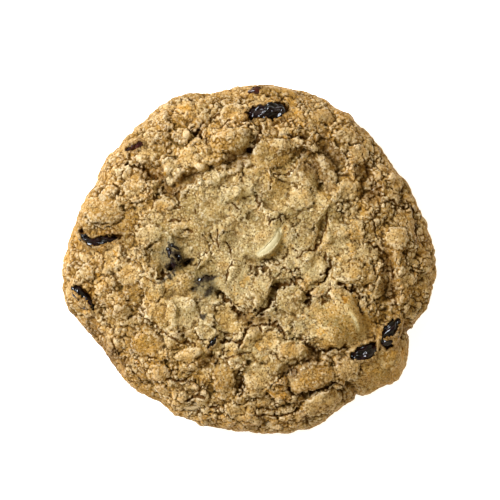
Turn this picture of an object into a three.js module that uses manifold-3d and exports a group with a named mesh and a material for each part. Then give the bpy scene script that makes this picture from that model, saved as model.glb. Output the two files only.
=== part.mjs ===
// Oatmeal raisin cookie, baked free on a sheet.
// One slab of dough carries the craggy relief, the cracks and the oat flakes fused into its skin.
// Raisins and pale chips are separate solids that sit in pockets of the dough.
// Millimetres, +Z up. The underside lies on z = 0, and the middle of the box is on the Z axis.

import * as THREE from "three";
import { ImprovedNoise } from "three/addons/math/ImprovedNoise.js";
import { mergeVertices } from "three/addons/utils/BufferGeometryUtils.js";
import Module from "manifold-3d";

const wasm = await Module();
wasm.setup();

// Driving dimensions of the dough
const BODY_RADIUS = 43.2; // radius of the round, before its bulges
const BODY_HEIGHT = 13.6; // height of the smooth dome, before its crags
const RINGS = 25; // rings of vertices from the top's middle, over the shoulder, to the foot
const SECTORS = 6; // ring number n has this many times n vertices
const FOOT_FADE = 4; // height over which the relief grows from nothing at the foot
const CLEARANCE = 0.35; // gap between a raisin or chip and its pocket
const SEED = 41;

// Section from the middle of the top, over the shoulder, to the foot: shares of radius and height
const SECTION = [
  [0, 1],
  [0.35, 0.99],
  [0.62, 0.94],
  [0.8, 0.84],
  [0.91, 0.68],
  [0.975, 0.47],
  [1, 0.27],
  [0.985, 0.09],
  [0.955, 0],
];

// Where the edge leaves the round: azimuth and half-width in degrees, and millimetres outwards
const EDGE_FORMS = [
  { at: 355, wide: 17, out: 3.9 }, // right shoulder
  { at: 15, wide: 11, out: 0.7 }, // its upper side
  { at: 70, wide: 17, out: 1.3 }, // upper right
  { at: 99, wide: 5, out: -0.6 },
  { at: 118, wide: 9, out: 1.4 }, // upper left
  { at: 145, wide: 3.5, out: 0.8 }, // flap over the rim raisin
  { at: 155, wide: 5, out: -0.9 },
  { at: 174, wide: 10, out: 1.2 },
  { at: 190, wide: 13, out: 3.8 }, // left shoulder
  { at: 243, wide: 14, out: -0.5 },
  { at: 289, wide: 14, out: 1.9 }, // bottom
  { at: 322, wide: 10, out: 3.8 }, // lower right lobe, half torn from the round
];

// Lumps and hollows of the top: place, reach and rise
const SWELLS = [
  { x: -8.5, y: 13.5, reach: 9, rise: 0.7 }, // pale plateau left of the middle
  { x: 21.5, y: -15.8, reach: 6.5, rise: 1.8 }, // dome over a chip
  { x: -36, y: 13.5, reach: 7, rise: 1.2 }, // swell of the left rim
  { x: 34, y: -25.5, reach: 6, rise: 1.2 }, // crown of the torn lobe
  { x: -20.5, y: 22, reach: 3, rise: 1.2 },
  { x: -6, y: 28.5, reach: 4.5, rise: 0.9 },
  { x: 5, y: 27.3, reach: 4.5, rise: 0.7 },
  { x: 14.5, y: 17.3, reach: 4.5, rise: 0.8 },
  { x: 9.5, y: -10.3, reach: 4, rise: 0.8 },
  { x: 24, y: -2.3, reach: 4, rise: 0.8 },
  { x: 37.5, y: 4, reach: 4, rise: 1 },
  { x: 9, y: -22, reach: 5, rise: 1 },
  { x: 15, y: -28.3, reach: 4.5, rise: 1.1 },
  { x: 3, y: -29.5, reach: 4, rise: 0.8 },
  { x: -24.5, y: -27.3, reach: 3.5, rise: 0.9 },
  { x: -18, y: 0, reach: 5, rise: -1.1 }, // hollows that the raisins lie in
  { x: -11, y: -7, reach: 4, rise: -0.7 },
  { x: -36.5, y: 4, reach: 4, rise: -0.9 },
  { x: 4.5, y: 35.5, reach: 4, rise: -0.5 },
];

// Random crags over the whole skin: round lumps with sharp creases between them, by size and height
const CRAGS = [
  { size: 7.6, height: 1.5 },
  { size: 4.1, height: 1.1 },
];
const CRAG_LEVEL = 0.3; // the part of a lump's height that lies under the smooth dome
const RIM_CRAGS = 0.3; // share of the crags' height that is left on the upright rim

// Cracks in the crust, along the way they run: half-width and depth at their middle
const CRACKS = [
  { wide: 1.5, deep: 2.3, way: [[3, 33], [-1, 26.5], [-10, 22], [-20.5, 17]] }, // long upper crack
  { wide: 1.0, deep: 1.2, way: [[-20.5, 17], [-25, 12.8], [-29, 9]] },
  { wide: 1.1, deep: 1.3, way: [[-11, 33.5], [-13.5, 30.3], [-16.5, 27.5]] },
  { wide: 1.0, deep: 1.3, way: [[-30.5, 23.5], [-26, 22], [-22, 19]] },
  { wide: 1.3, deep: 1.9, way: [[-12, -0.5], [-17.5, -1.5], [-23, -5.5]] }, // over the sunk raisin
  { wide: 1.2, deep: 1.6, way: [[-10, -5.5], [-6, -9.5], [-1.5, -14]] },
  { wide: 1.1, deep: 2.3, way: [[13, -4.5], [7, -6.5], [4.5, -11.5], [1, -14.3]] }, // middle crack
  { wide: 0.9, deep: 1.6, way: [[11.5, 0.3], [16, 2.3], [18, 7], [19.5, 12]] },
  { wide: 1.0, deep: 1.7, way: [[20, 0], [18.8, -4.8], [15, -7.5], [14.5, -11]] },
  { wide: 1.0, deep: 1.6, way: [[22, -5.8], [26.3, -8.5], [28, -14]] },
  { wide: 0.9, deep: 1.4, way: [[9.3, -19.8], [6.5, -16.3], [-0.5, -16], [-2, -20.3], [-8, -20.3]] },
  { wide: 1.0, deep: 1.6, way: [[12.5, -19.5], [16.5, -23], [24.5, -21.8]] },
  { wide: 0.8, deep: 1.4, way: [[-2.2, -27.5], [-2.7, -31], [-2, -34.5]] },
  { wide: 1.2, deep: 1.7, way: [[8.8, -32], [13.5, -34], [22, -30]] },
  { wide: 1.2, deep: 1.7, way: [[13, 24.5], [17, 19], [22, 14.5]] },
  { wide: 1.1, deep: 1.5, way: [[17.5, 30.5], [20, 25.5], [24.5, 21]] },
  { wide: 1.2, deep: 1.5, way: [[8.5, 32], [12.5, 30.8], [16, 31]] },
  { wide: 1.3, deep: 1.6, way: [[29, 4], [34.5, 0], [35, -7], [37, -13.5]] },
  { wide: 1.3, deep: 1.4, way: [[-34, -19.5], [-31, -25.5], [-24, -33.5]] },
];
const CRACK_STEP = 2; // distance between a crack's stations
const CRACK_STEPS = 3; // fewest steps along a short crack
const CRACK_WANDER = 0.35; // how far a station strays from the way
const CRACK_SPREAD = [0.8, 1.2]; // how a crack's width varies from station to station
const CRACK_END = 0.25; // share of the middle's width and depth that is left at a crack's ends
const CRACK_ABOVE = 2; // how far the cutting wedge stands above the crust

// Tears that part the lobe from the round: they run in from outside the edge, right through the rim
const TEARS = [
  { wide: 1.5, deep: 9, way: [[44, -20.2], [39.2, -17.4], [35.5, -15.2]] },
  { wide: 1.2, deep: 8, way: [[29.5, -37.8], [26.3, -33], [22.5, -28.5]] },
];
const TEAR_END = 0.2; // share of the width and depth that is left at a tear's inner end

// Oat flakes, laid on a sunflower spiral
const FLAKE_COUNT = 38;
const FLAKE_LENGTH = [6.2, 8.6];
const FLAKE_WIDTH = [3.8, 5.4];
const FLAKE_THICKNESS = [1.3, 1.8];
const FLAKE_TILT = 11; // degrees
const FLAKE_PROUD = 0.12; // how far a flake's middle stands above the crust
const FLAKE_FIELD = 0.93; // share of the radius that the spiral fills
const FLAKE_KEEP_OFF = 4.6; // distance from the middle of a raisin or chip
const FLAKE_SIDES = 6;
const FLAKE_BANDS = 4;
const GOLDEN_ANGLE = 180 * (3 - Math.sqrt(5));

// Raisins: place, size, turn in degrees, bow of the two ends, and how far the middle lies under the crust
const RAISINS = [
  { name: "raisin_top", x: 4.4, y: 36.2, size: [10, 4.6, 4.6], turn: 13, bow: -0.3, sunk: 0.7 },
  { name: "raisin_left", x: -36.6, y: 4.6, size: [11.6, 3.9, 4.4], turn: -5, bow: 1.5, sunk: 0.9 },
  { name: "raisin_left_low", x: -40.8, y: -9.6, size: [8.6, 3.2, 3.6], turn: -47, bow: 0.7, sunk: 0.5 },
  { name: "raisin_rim", x: -28.2, y: 28, size: [5.4, 2.8, 3], turn: 28, bow: 0, sunk: 0.6 },
  { name: "raisin_top_rim", x: 2.2, y: 41.6, size: [4.6, 2.4, 2.6], turn: 8, bow: 0, sunk: 0.8 },
  { name: "raisin_hollow", x: -18.6, y: 1.4, size: [7.4, 4, 4], turn: -72, bow: 0.5, sunk: 1.1 },
  { name: "raisin_veiled", x: -11, y: -6.2, size: [7, 5, 4.4], turn: -38, bow: 0, sunk: 1.3 },
  { name: "raisin_sliver", x: -9.1, y: -20.5, size: [5.2, 2.6, 3.4], turn: 66, bow: 0, sunk: 0.9 },
  { name: "raisin_lobe_upper", x: 34.9, y: -18.2, size: [9, 4.6, 4.4], turn: 53, bow: 0.4, sunk: 0.6 },
  { name: "raisin_lobe_lower", x: 28.2, y: -23.2, size: [7.4, 5, 4.4], turn: 17, bow: 0, sunk: 0.7 },
];
const RAISIN_SIDES = 12;
const RAISIN_BANDS = 7;
const WRINKLE_COUNT = 5; // folds round a raisin
const WRINKLE_DEPTH = 0.11; // share of its radius
const WRINKLE_TWIST = 2; // radians that the folds turn from the middle to an end

// Pale chips: softened drops, flattened in the oven, that lean so that one edge shows
const CHIPS = [
  { name: "chip_middle", x: 3.6, y: 4.4, size: [9.4, 7.2, 3.6], turn: -132, lean: 12, sunk: 1.1 },
  { name: "chip_dome", x: 23.4, y: -14.4, size: [9.6, 8, 3.4], turn: -45, lean: 15, sunk: 1.2 },
];
const CHIP_SIDES = 12;
const CHIP_BANDS = 6;
const CHIP_BELLY = 0.7; // depth of the flatter underside, as a share of the top's

const DOUGH = new THREE.MeshStandardMaterial({ color: 0xb98f58, roughness: 0.92, metalness: 0 });
const RAISIN = new THREE.MeshStandardMaterial({ color: 0x1d1419, roughness: 0.35, metalness: 0 });
const CHIP = new THREE.MeshStandardMaterial({ color: 0xeadcb2, roughness: 0.55, metalness: 0 });

const noise = new ImprovedNoise();
const { degToRad, euclideanModulo, lerp, seededRandom, smoothstep } = THREE.MathUtils;
seededRandom(SEED);

// A seeded number between the two ends of a range
function between([low, high]) {
  return lerp(low, high, seededRandom());
}

// A closed mesh with its shared vertices merged, as a solid to join and cut
function solidOf(geometry) {
  const bare = geometry.clone().deleteAttribute("normal").deleteAttribute("uv");
  const merged = mergeVertices(bare);
  const vertProperties = merged.getAttribute("position").array;
  const triVerts = new Uint32Array(merged.index.array);
  return new wasm.Manifold(new wasm.Mesh({ numProp: 3, vertProperties, triVerts }));
}

// A solid back as a three.js geometry
function geometryOf(solid) {
  const { numProp, vertProperties, triVerts, numVert } = solid.getMesh();
  const position = new Float32Array(numVert * 3);
  for (let i = 0; i < numVert; i++) {
    position.set(vertProperties.subarray(i * numProp, i * numProp + 3), i * 3);
  }
  const geometry = new THREE.BufferGeometry();
  geometry.setAttribute("position", new THREE.BufferAttribute(position, 3));
  geometry.setIndex(new THREE.BufferAttribute(triVerts, 1));
  geometry.computeVertexNormals();
  return geometry;
}

// Radius of the edge at an azimuth in degrees
function edgeRadius(azimuth) {
  return EDGE_FORMS.reduce((radius, { at, wide, out }) => {
    const away = euclideanModulo(azimuth - at + 180, 360) - 180;
    return radius + out * Math.exp(-((away / wide) ** 2));
  }, BODY_RADIUS);
}

// Height of the relief over a point of the smooth dome, whose normal points up by the given share
function reliefAt(point, upright) {
  let rise = 0;
  for (const swell of SWELLS) {
    const away = Math.hypot(point.x - swell.x, point.y - swell.y) / swell.reach;
    rise += swell.rise * Math.exp(-(away ** 4));
  }
  for (const { size, height } of CRAGS) {
    const billow = Math.abs(noise.noise(point.x / size + SEED, point.y / size, point.z / size));
    rise += height * (2 * billow - CRAG_LEVEL) * lerp(RIM_CRAGS, 1, Math.max(0, upright));
  }
  return rise * smoothstep(point.z, 0, FOOT_FADE);
}

// The dough before its cracks, pockets and flakes.
// The rings' vertices grow in number outwards, so that all triangles are about the same size.
function doughGeometry() {
  const section = new THREE.CatmullRomCurve3(
    SECTION.map(([out, up]) => new THREE.Vector3(out * BODY_RADIUS, 0, up * BODY_HEIGHT)),
  );
  const positions = [];
  const ringStart = (ring) => (ring ? 1 + (SECTORS / 2) * ring * (ring - 1) : 0);
  for (let ring = 0; ring <= RINGS; ring++) {
    const along = section.getPointAt(ring / RINGS);
    const tangent = section.getTangentAt(ring / RINGS);
    const share = along.x / BODY_RADIUS;
    for (let i = 0; i < Math.max(1, SECTORS * ring); i++) {
      const azimuth = ring ? (360 * i) / (SECTORS * ring) : 0;
      const spread = lerp(BODY_RADIUS, edgeRadius(azimuth), share ** 2) * share;
      const turn = new THREE.Vector3(Math.cos(degToRad(azimuth)), Math.sin(degToRad(azimuth)), 0);
      const point = turn.clone().multiplyScalar(spread).setZ(along.z);
      const normal = turn.clone().multiplyScalar(-tangent.z).setZ(tangent.x);
      point.addScaledVector(normal, reliefAt(point, normal.z));
      positions.push(point.x, point.y, point.z);
    }
  }
  const index = [];
  for (let ring = 1; ring <= RINGS; ring++) {
    const inner = (i) => ringStart(ring - 1) + (ring > 1 ? i % (SECTORS * (ring - 1)) : 0);
    const outer = (i) => ringStart(ring) + (i % (SECTORS * ring));
    for (let sector = 0; sector < SECTORS; sector++) {
      for (let j = 0; j < ring; j++) {
        const a = sector * (ring - 1) + j;
        const b = sector * ring + j;
        index.push(inner(a), outer(b), outer(b + 1));
        if (j < ring - 1) index.push(inner(a), outer(b + 1), inner(a + 1));
      }
    }
  }
  // The flat underside is a fan about a point at its middle
  const middle = positions.length / 3;
  positions.push(0, 0, 0);
  const footCount = SECTORS * RINGS;
  for (let i = 0; i < footCount; i++) {
    index.push(middle, ringStart(RINGS) + ((i + 1) % footCount), ringStart(RINGS) + i);
  }
  const geometry = new THREE.BufferGeometry();
  geometry.setAttribute("position", new THREE.Float32BufferAttribute(positions, 3));
  geometry.setIndex(index);
  geometry.computeVertexNormals();
  return geometry;
}

const bareDough = new THREE.Mesh(doughGeometry(), DOUGH);
const plumbLine = new THREE.Raycaster();
const plumbHeight = 2 * BODY_HEIGHT; // well above the highest crag
const UP = new THREE.Vector3(0, 0, 1);
const DOWN = new THREE.Vector3(0, 0, -1);

// The crust's point and outward normal straight below a place, or nothing outside the edge
function crustAt(x, y) {
  plumbLine.set(new THREE.Vector3(x, y, plumbHeight), DOWN);
  const [hit] = plumbLine.intersectObject(bareDough);
  return hit && { point: hit.point, normal: hit.face.normal };
}

// A wedge along a crack's way, three vertices to a station, that cuts a V into the crust.
// A tear keeps its full depth at its first end, outside the edge.
function wedgeGeometry({ way, wide, deep }, open) {
  const curve = new THREE.CatmullRomCurve3(way.map(([x, y]) => new THREE.Vector3(x, y, 0)));
  const steps = Math.max(CRACK_STEPS, Math.round(curve.getLength() / CRACK_STEP));
  const positions = [];
  let level = BODY_HEIGHT / 2;
  for (let i = 0; i <= steps; i++) {
    const share = i / steps;
    const taper = open ? lerp(1, TEAR_END, share) : lerp(CRACK_END, 1, Math.sin(Math.PI * share));
    const tangent = curve.getTangentAt(share);
    const across = new THREE.Vector3(-tangent.y, tangent.x, 0);
    const station = curve.getPointAt(share);
    station.addScaledVector(across, CRACK_WANDER * (2 * seededRandom() - 1));
    level = crustAt(station.x, station.y)?.point.z ?? level;
    const top = level + CRACK_ABOVE;
    const depth = deep * taper;
    const half = wide * taper * between(CRACK_SPREAD) * (1 + CRACK_ABOVE / depth);
    const left = station.clone().addScaledVector(across, half).setZ(top);
    const right = station.clone().addScaledVector(across, -half).setZ(top);
    const root = station.clone().setZ(level - depth);
    for (const { x, y, z } of [left, right, root]) positions.push(x, y, z);
  }
  const index = [0, 2, 1];
  for (let i = 0; i < steps; i++) {
    for (let side = 0; side < 3; side++) {
      const a = 3 * i + side;
      const b = 3 * i + ((side + 1) % 3);
      index.push(a, b, b + 3, a, b + 3, a + 3);
    }
  }
  index.push(3 * steps, 3 * steps + 1, 3 * steps + 2);
  const geometry = new THREE.BufferGeometry();
  geometry.setAttribute("position", new THREE.Float32BufferAttribute(positions, 3));
  geometry.setIndex(index);
  return geometry;
}

// A wrinkled raisin with its length along X, grown by a gap where it stands for its pocket
function raisinGeometry({ size, bow }, phase, gap) {
  const geometry = new THREE.SphereGeometry(1, RAISIN_SIDES, RAISIN_BANDS).rotateZ(Math.PI / 2);
  const half = size.map((length) => length / 2);
  const position = geometry.getAttribute("position");
  const point = new THREE.Vector3();
  for (let i = 0; i < position.count; i++) {
    point.fromBufferAttribute(position, i);
    const around = Math.atan2(point.z, point.y);
    const waist = 1 - point.x ** 2;
    const fold = Math.sin(WRINKLE_COUNT * around + phase + WRINKLE_TWIST * point.x);
    const body = new THREE.Vector3(...half).multiply(point);
    body.y *= 1 + WRINKLE_DEPTH * waist * fold;
    body.z *= 1 + WRINKLE_DEPTH * waist * fold;
    body.y += bow * (point.x ** 2 - 0.5);
    body.addScaledVector(point, gap);
    position.setXYZ(i, body.x, body.y, body.z);
  }
  return geometry;
}

// A flattened drop: a lens with a flatter underside, grown by a gap where it stands for its pocket
function chipGeometry({ size }, gap) {
  const geometry = new THREE.SphereGeometry(1, CHIP_SIDES, CHIP_BANDS).rotateX(Math.PI / 2);
  const [long, wide, thick] = size.map((length) => length / 2 + gap);
  const position = geometry.getAttribute("position");
  for (let i = 0; i < position.count; i++) {
    const up = position.getZ(i);
    const belly = up < 0 ? CHIP_BELLY : 1;
    position.setXYZ(i, position.getX(i) * long, position.getY(i) * wide, up * thick * belly);
  }
  return geometry;
}

// A mesh set into the crust at its own place, turned about the vertical, and leaned about its length
function setInCrust(geometry, material, { name, x, y, turn, lean = 0, sunk }) {
  const mesh = new THREE.Mesh(geometry, material);
  mesh.name = name;
  mesh.position.copy(crustAt(x, y).point);
  mesh.position.z -= sunk;
  mesh.rotation.set(degToRad(lean), 0, degToRad(turn), "ZYX");
  mesh.updateMatrix();
  return mesh;
}

// Oat flakes along the spiral, lying on the crust with a small tilt, clear of raisins and chips
function flakeGeometries(keepOff) {
  const flakes = [];
  for (let i = 0; i < FLAKE_COUNT; i++) {
    const out = BODY_RADIUS * FLAKE_FIELD * Math.sqrt((i + 0.5) / FLAKE_COUNT);
    const azimuth = degToRad(i * GOLDEN_ANGLE);
    const x = out * Math.cos(azimuth);
    const y = out * Math.sin(azimuth);
    const half = [FLAKE_LENGTH, FLAKE_WIDTH, FLAKE_THICKNESS].map((range) => between(range) / 2);
    const tilt = [between([-FLAKE_TILT, FLAKE_TILT]), between([-FLAKE_TILT, FLAKE_TILT])].map(degToRad);
    const spin = between([0, Math.PI]);
    const near = keepOff.some((spot) => Math.hypot(spot.x - x, spot.y - y) < FLAKE_KEEP_OFF);
    const crust = crustAt(x, y);
    if (near || !crust) continue;
    const lie = new THREE.Quaternion().setFromUnitVectors(UP, crust.normal);
    const turn = new THREE.Quaternion().setFromEuler(new THREE.Euler(...tilt, spin));
    const middle = crust.point.addScaledVector(crust.normal, FLAKE_PROUD);
    const place = new THREE.Matrix4().compose(middle, lie.multiply(turn), new THREE.Vector3(...half));
    const flake = new THREE.SphereGeometry(1, FLAKE_SIDES, FLAKE_BANDS).rotateX(Math.PI / 2);
    flakes.push(flake.applyMatrix4(place));
  }
  return flakes;
}

const raisins = RAISINS.map((raisin, i) => setInCrust(raisinGeometry(raisin, i, 0), RAISIN, raisin));
const chips = CHIPS.map((chip) => setInCrust(chipGeometry(chip, 0), CHIP, chip));
const pockets = [
  ...RAISINS.map((raisin, i) => raisinGeometry(raisin, i, CLEARANCE).applyMatrix4(raisins[i].matrix)),
  ...CHIPS.map((chip, i) => chipGeometry(chip, CLEARANCE).applyMatrix4(chips[i].matrix)),
];
const cuts = [
  ...CRACKS.map((crack) => wedgeGeometry(crack, false)),
  ...TEARS.map((tear) => wedgeGeometry(tear, true)),
  ...pockets,
];

// Cracks and pockets are cut after the flakes are joined on, and loose scraps are dropped
let slab = solidOf(bareDough.geometry);
for (const flake of flakeGeometries([...RAISINS, ...CHIPS])) slab = slab.add(solidOf(flake));
for (const cut of cuts) slab = slab.subtract(solidOf(cut));
const [largest] = slab.decompose().sort((a, b) => b.volume() - a.volume());

const dough = new THREE.Mesh(geometryOf(largest), DOUGH);
dough.name = "dough";

const cookie = new THREE.Group();
cookie.add(dough, ...raisins, ...chips);

// The middle of the cookie's box goes on the Z axis
const middle = new THREE.Box3().setFromObject(cookie).getCenter(new THREE.Vector3());
cookie.position.set(-middle.x, -middle.y, 0);

const part = new THREE.Group();
part.add(cookie);

export default part;
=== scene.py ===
# %% [markdown]
# # An oatmeal raisin cookie
# The cookie is one slab of baked dough with oat flakes in its skin, raisins in pockets and two pale chips.
# The solids that come with the frame give the form. This lesson gives that form its crust, crumbs, fruit
# and colour. Everything is in metres, with Z up and the underside on the floor.

# %% Load the frame
import math
import random

import bmesh
import bpy
from mathutils import Matrix, Vector


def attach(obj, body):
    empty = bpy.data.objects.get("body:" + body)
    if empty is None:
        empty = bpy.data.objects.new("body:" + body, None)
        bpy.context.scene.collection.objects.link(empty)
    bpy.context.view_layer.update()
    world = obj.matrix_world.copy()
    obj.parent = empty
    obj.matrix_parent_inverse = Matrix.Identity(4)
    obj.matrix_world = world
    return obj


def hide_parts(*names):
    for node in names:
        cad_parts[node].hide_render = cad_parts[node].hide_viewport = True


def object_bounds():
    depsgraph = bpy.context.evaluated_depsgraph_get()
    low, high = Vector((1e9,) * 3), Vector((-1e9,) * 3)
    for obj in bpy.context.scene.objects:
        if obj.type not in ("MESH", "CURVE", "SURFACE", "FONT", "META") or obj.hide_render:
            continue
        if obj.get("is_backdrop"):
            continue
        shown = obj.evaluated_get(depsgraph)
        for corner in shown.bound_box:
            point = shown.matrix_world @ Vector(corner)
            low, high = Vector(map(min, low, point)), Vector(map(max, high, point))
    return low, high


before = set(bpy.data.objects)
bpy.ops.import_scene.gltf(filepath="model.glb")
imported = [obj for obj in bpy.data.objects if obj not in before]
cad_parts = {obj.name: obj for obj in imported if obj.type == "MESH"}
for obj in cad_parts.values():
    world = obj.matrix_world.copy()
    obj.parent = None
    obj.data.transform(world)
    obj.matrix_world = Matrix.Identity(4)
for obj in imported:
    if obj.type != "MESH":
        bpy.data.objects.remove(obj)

MM = 0.001
CAD_LOW, CAD_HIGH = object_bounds()
SIZE = CAD_HIGH - CAD_LOW
RADIUS = (SIZE.x + SIZE.y) / 4
RAISINS = sorted(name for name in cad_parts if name.startswith("raisin"))
CHIPS = sorted(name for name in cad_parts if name.startswith("chip"))


def in_mm(lengths):
    return [round(length / MM, 1) for length in lengths]


print("cookie", in_mm(SIZE), "mm,", len(RAISINS), "raisins,", len(CHIPS), "chips")

# %% [markdown]
# ## Camera
# The cookie is seen from straight above. A long lens far away keeps the rim from leaning outwards, as a
# wide lens would make it. The picture is square, so the field is worked out from its width alone.

# %% Place the camera
FIELD = 125 * MM  # width of the picture at the height of the rim
LENS = 150  # mm
SENSOR = 36  # mm
RIM_HEIGHT = 4 * MM
MIDDLE_OF_PICTURE = (0.1 * MM, 2.25 * MM)

camera = bpy.data.objects.new("camera", bpy.data.cameras.new("camera"))
camera.data.lens = LENS
camera.data.sensor_width = SENSOR
camera.location = (*MIDDLE_OF_PICTURE, RIM_HEIGHT + FIELD * LENS / SENSOR)
bpy.context.scene.collection.objects.link(camera)
bpy.context.scene.camera = camera
print("camera", round(camera.location.z, 3), "m above the floor")

# %% [markdown]
# ## Nodes written as sums
# Materials and Geometry Nodes are both trees of nodes. Written link by link, a short sum takes a page.
# This class wraps one socket, so that `1 - mask * 0.5` adds the Math nodes by itself. Every other kind of
# node comes from one method, which sets the node's options first and its sockets second.


# %% A socket with arithmetic
class Wire:
    """One output socket of a node tree. Sums on numbers add Math nodes, and node() adds any other node."""

    def __init__(self, tree, socket=None):
        self.tree = tree
        self.socket = socket

    def node(self, kind, settings=None, inputs=None, out=0):
        made = self.tree.nodes.new(kind)
        for name, value in (settings or {}).items():
            if name == "stops":
                Wire.set_stops(made.color_ramp, value)
            else:
                setattr(made, name, value)
        for name, value in (inputs or {}).items():
            socket = Wire.find(made.inputs, name)
            if isinstance(value, Wire):
                self.tree.links.new(value.socket, socket)
            else:
                socket.default_value = value
        return Wire(self.tree, Wire.find(made.outputs, out)) if made.outputs else made

    @staticmethod
    def find(sockets, key):
        if isinstance(key, int):
            return sockets[key]
        return next(s for s in sockets if s.enabled and key in (s.identifier, s.name))

    @staticmethod
    def set_stops(ramp, stops):
        while len(ramp.elements) < len(stops):
            ramp.elements.new(1)
        for element, (place, colour) in zip(ramp.elements, stops):
            element.position = place
            element.color = colour

    def __getitem__(self, out):
        return Wire(self.tree, Wire.find(self.socket.node.outputs, out))

    def sum(self, operation, *terms):
        """A Math node on the terms, in that order."""
        return self.node("ShaderNodeMath", {"operation": operation}, dict(enumerate(terms)))

    def vector(self, operation, *others):
        """A Vector Math node on this wire and the others."""
        return self.node("ShaderNodeVectorMath", {"operation": operation}, dict(enumerate((self, *others))))

    def __add__(self, other):
        return self.sum("ADD", self, other)

    def __radd__(self, other):
        return self.sum("ADD", other, self)

    def __sub__(self, other):
        return self.sum("SUBTRACT", self, other)

    def __rsub__(self, other):
        return self.sum("SUBTRACT", other, self)

    def __mul__(self, other):
        return self.sum("MULTIPLY", self, other)

    def __rmul__(self, other):
        return self.sum("MULTIPLY", other, self)

    def __rtruediv__(self, other):
        return self.sum("DIVIDE", other, self)

    def scaled(self, factor):
        return self.node("ShaderNodeVectorMath", {"operation": "SCALE"}, {0: self, "Scale": factor})

    def step(self, low, high):
        """0 below low, 1 above high, smooth between. Low may lie above high."""
        settings = {"interpolation_type": "SMOOTHSTEP"}
        return self.node("ShaderNodeMapRange", settings, {"Value": self, "From Min": low, "From Max": high})

    def mix(self, colour_a, colour_b):
        """Colour a where this wire is 0, colour b where it is 1."""
        inputs = {"Factor_Float": self, "A_Color": colour_a, "B_Color": colour_b}
        return self.node("ShaderNodeMix", {"data_type": "RGBA"}, inputs, "Result_Color")


print("wires ready")

# %% [markdown]
# ## Light
# One lamp stands to the upper left, so each crumb has a bright side and a soft shadow. White walls around
# fill the shadows. The ceiling is dim: a raisin that faces the camera mirrors the ceiling, and so stays
# black. The plain view transform keeps the white floor white and the crust's colour as painted.

# %% Set the light
LAMP_AZIMUTH = math.radians(152)  # from +X towards +Y
LAMP_HEIGHT = math.radians(44.5)  # above the horizon
LAMP_DISTANCE = 0.5
LAMP_WIDTH = 0.24
LAMP_POWER = 4.3  # watts
WALL_GLOW = 0.83
CEILING_GLOW = 0.1
CEILING_EDGE = (0.6, 0.95)  # height of a direction where the walls end and where the ceiling begins
LAMP_COLOUR = (0.955, 1.02, 1.12)
WALL_COLOUR = (1.0, 0.91, 0.58, 1)  # light that crust and table threw back

toward_lamp = Vector((
    math.cos(LAMP_AZIMUTH) * math.cos(LAMP_HEIGHT),
    math.sin(LAMP_AZIMUTH) * math.cos(LAMP_HEIGHT),
    math.sin(LAMP_HEIGHT),
))
lamp = bpy.data.objects.new("lamp", bpy.data.lights.new("lamp", "AREA"))
lamp.data.shape = "DISK"
lamp.data.size = LAMP_WIDTH
lamp.data.energy = LAMP_POWER
lamp.data.color = LAMP_COLOUR
lamp.location = toward_lamp * LAMP_DISTANCE
lamp.rotation_euler = toward_lamp.to_track_quat("Z", "Y").to_euler()
bpy.context.scene.collection.objects.link(lamp)

world = bpy.data.worlds.new("surround")
world.use_nodes = True
direction = Wire(world.node_tree).node("ShaderNodeTexCoord", out="Generated")
height = direction.node("ShaderNodeSeparateXYZ", None, {"Vector": direction}, "Z")
upward = height.step(*CEILING_EDGE)
glow = WALL_GLOW + (CEILING_GLOW - WALL_GLOW) * upward
background = world.node_tree.nodes["Background"]
background.inputs["Color"].default_value = WALL_COLOUR
world.node_tree.links.new(glow.socket, background.inputs["Strength"])
bpy.context.scene.world = world
bpy.context.scene.view_settings.view_transform = "Standard"
print("lamp at", [round(v, 2) for v in lamp.location], "m")

# %% [markdown]
# ## Trees and plain meshes
# A Geometry Nodes tree is a recipe with named sizes. `recipe` starts one with an input for each size, and
# `end_recipe` closes it. `apply_recipe` sets the sizes on an object by each socket's identifier and turns
# the result into a plain mesh with no modifier left. `hand_over` then hides the frame's solid that the piece
# takes the place of, and hangs the piece on its body.


# %% Helpers for Geometry Nodes
SOCKET_KINDS = {
    float: "Float", int: "Int", tuple: "Vector", bpy.types.Object: "Object", bpy.types.Material: "Material",
}
WELD = 0.001 * MM  # points closer than this become one


def recipe(name, sizes):
    """A new tree with an input for each size, and the wire that its inputs come from."""
    tree = bpy.data.node_groups.new(name, "GeometryNodeTree")
    tree.interface.new_socket("Geometry", in_out="INPUT", socket_type="NodeSocketGeometry")
    tree.interface.new_socket("Geometry", in_out="OUTPUT", socket_type="NodeSocketGeometry")
    for size, value in sizes.items():
        kind = "NodeSocket" + SOCKET_KINDS[type(value)]
        tree.interface.new_socket(size, in_out="INPUT", socket_type=kind)
    return Wire(tree).node("NodeGroupInput")


def end_recipe(geometry, material):
    """Ends a tree: smooth shading, instances become mesh, and the mesh gets its material."""
    smooth = geometry.node("GeometryNodeSetShadeSmooth", None, {"Geometry": geometry})
    real = geometry.node("GeometryNodeRealizeInstances", None, {"Geometry": smooth})
    done = geometry.node("GeometryNodeSetMaterial", None, {"Geometry": real, "Material": material})
    geometry.node("NodeGroupOutput", None, {"Geometry": done})


def plain(piece):
    """Replaces an object's mesh by what its modifiers make of it, and removes them."""
    graph = bpy.context.evaluated_depsgraph_get()
    mesh = bpy.data.meshes.new_from_object(piece.evaluated_get(graph))
    piece.modifiers.clear()
    piece.data = mesh
    mesh.name = piece.name
    return piece


def apply_recipe(piece, tree, sizes):
    modifier = piece.modifiers.new(tree.name, "NODES")
    modifier.node_group = tree
    for socket in tree.interface.items_tree:
        if socket.in_out == "INPUT" and socket.name in sizes:
            modifier[socket.identifier] = sizes[socket.name]
    return plain(piece)


def object_of(name, mesh):
    """An object in the scene with what a bmesh holds."""
    made = bpy.data.objects.new(name, bpy.data.meshes.new(name))
    mesh.to_mesh(made.data)
    mesh.free()
    bpy.context.scene.collection.objects.link(made)
    return made


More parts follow.
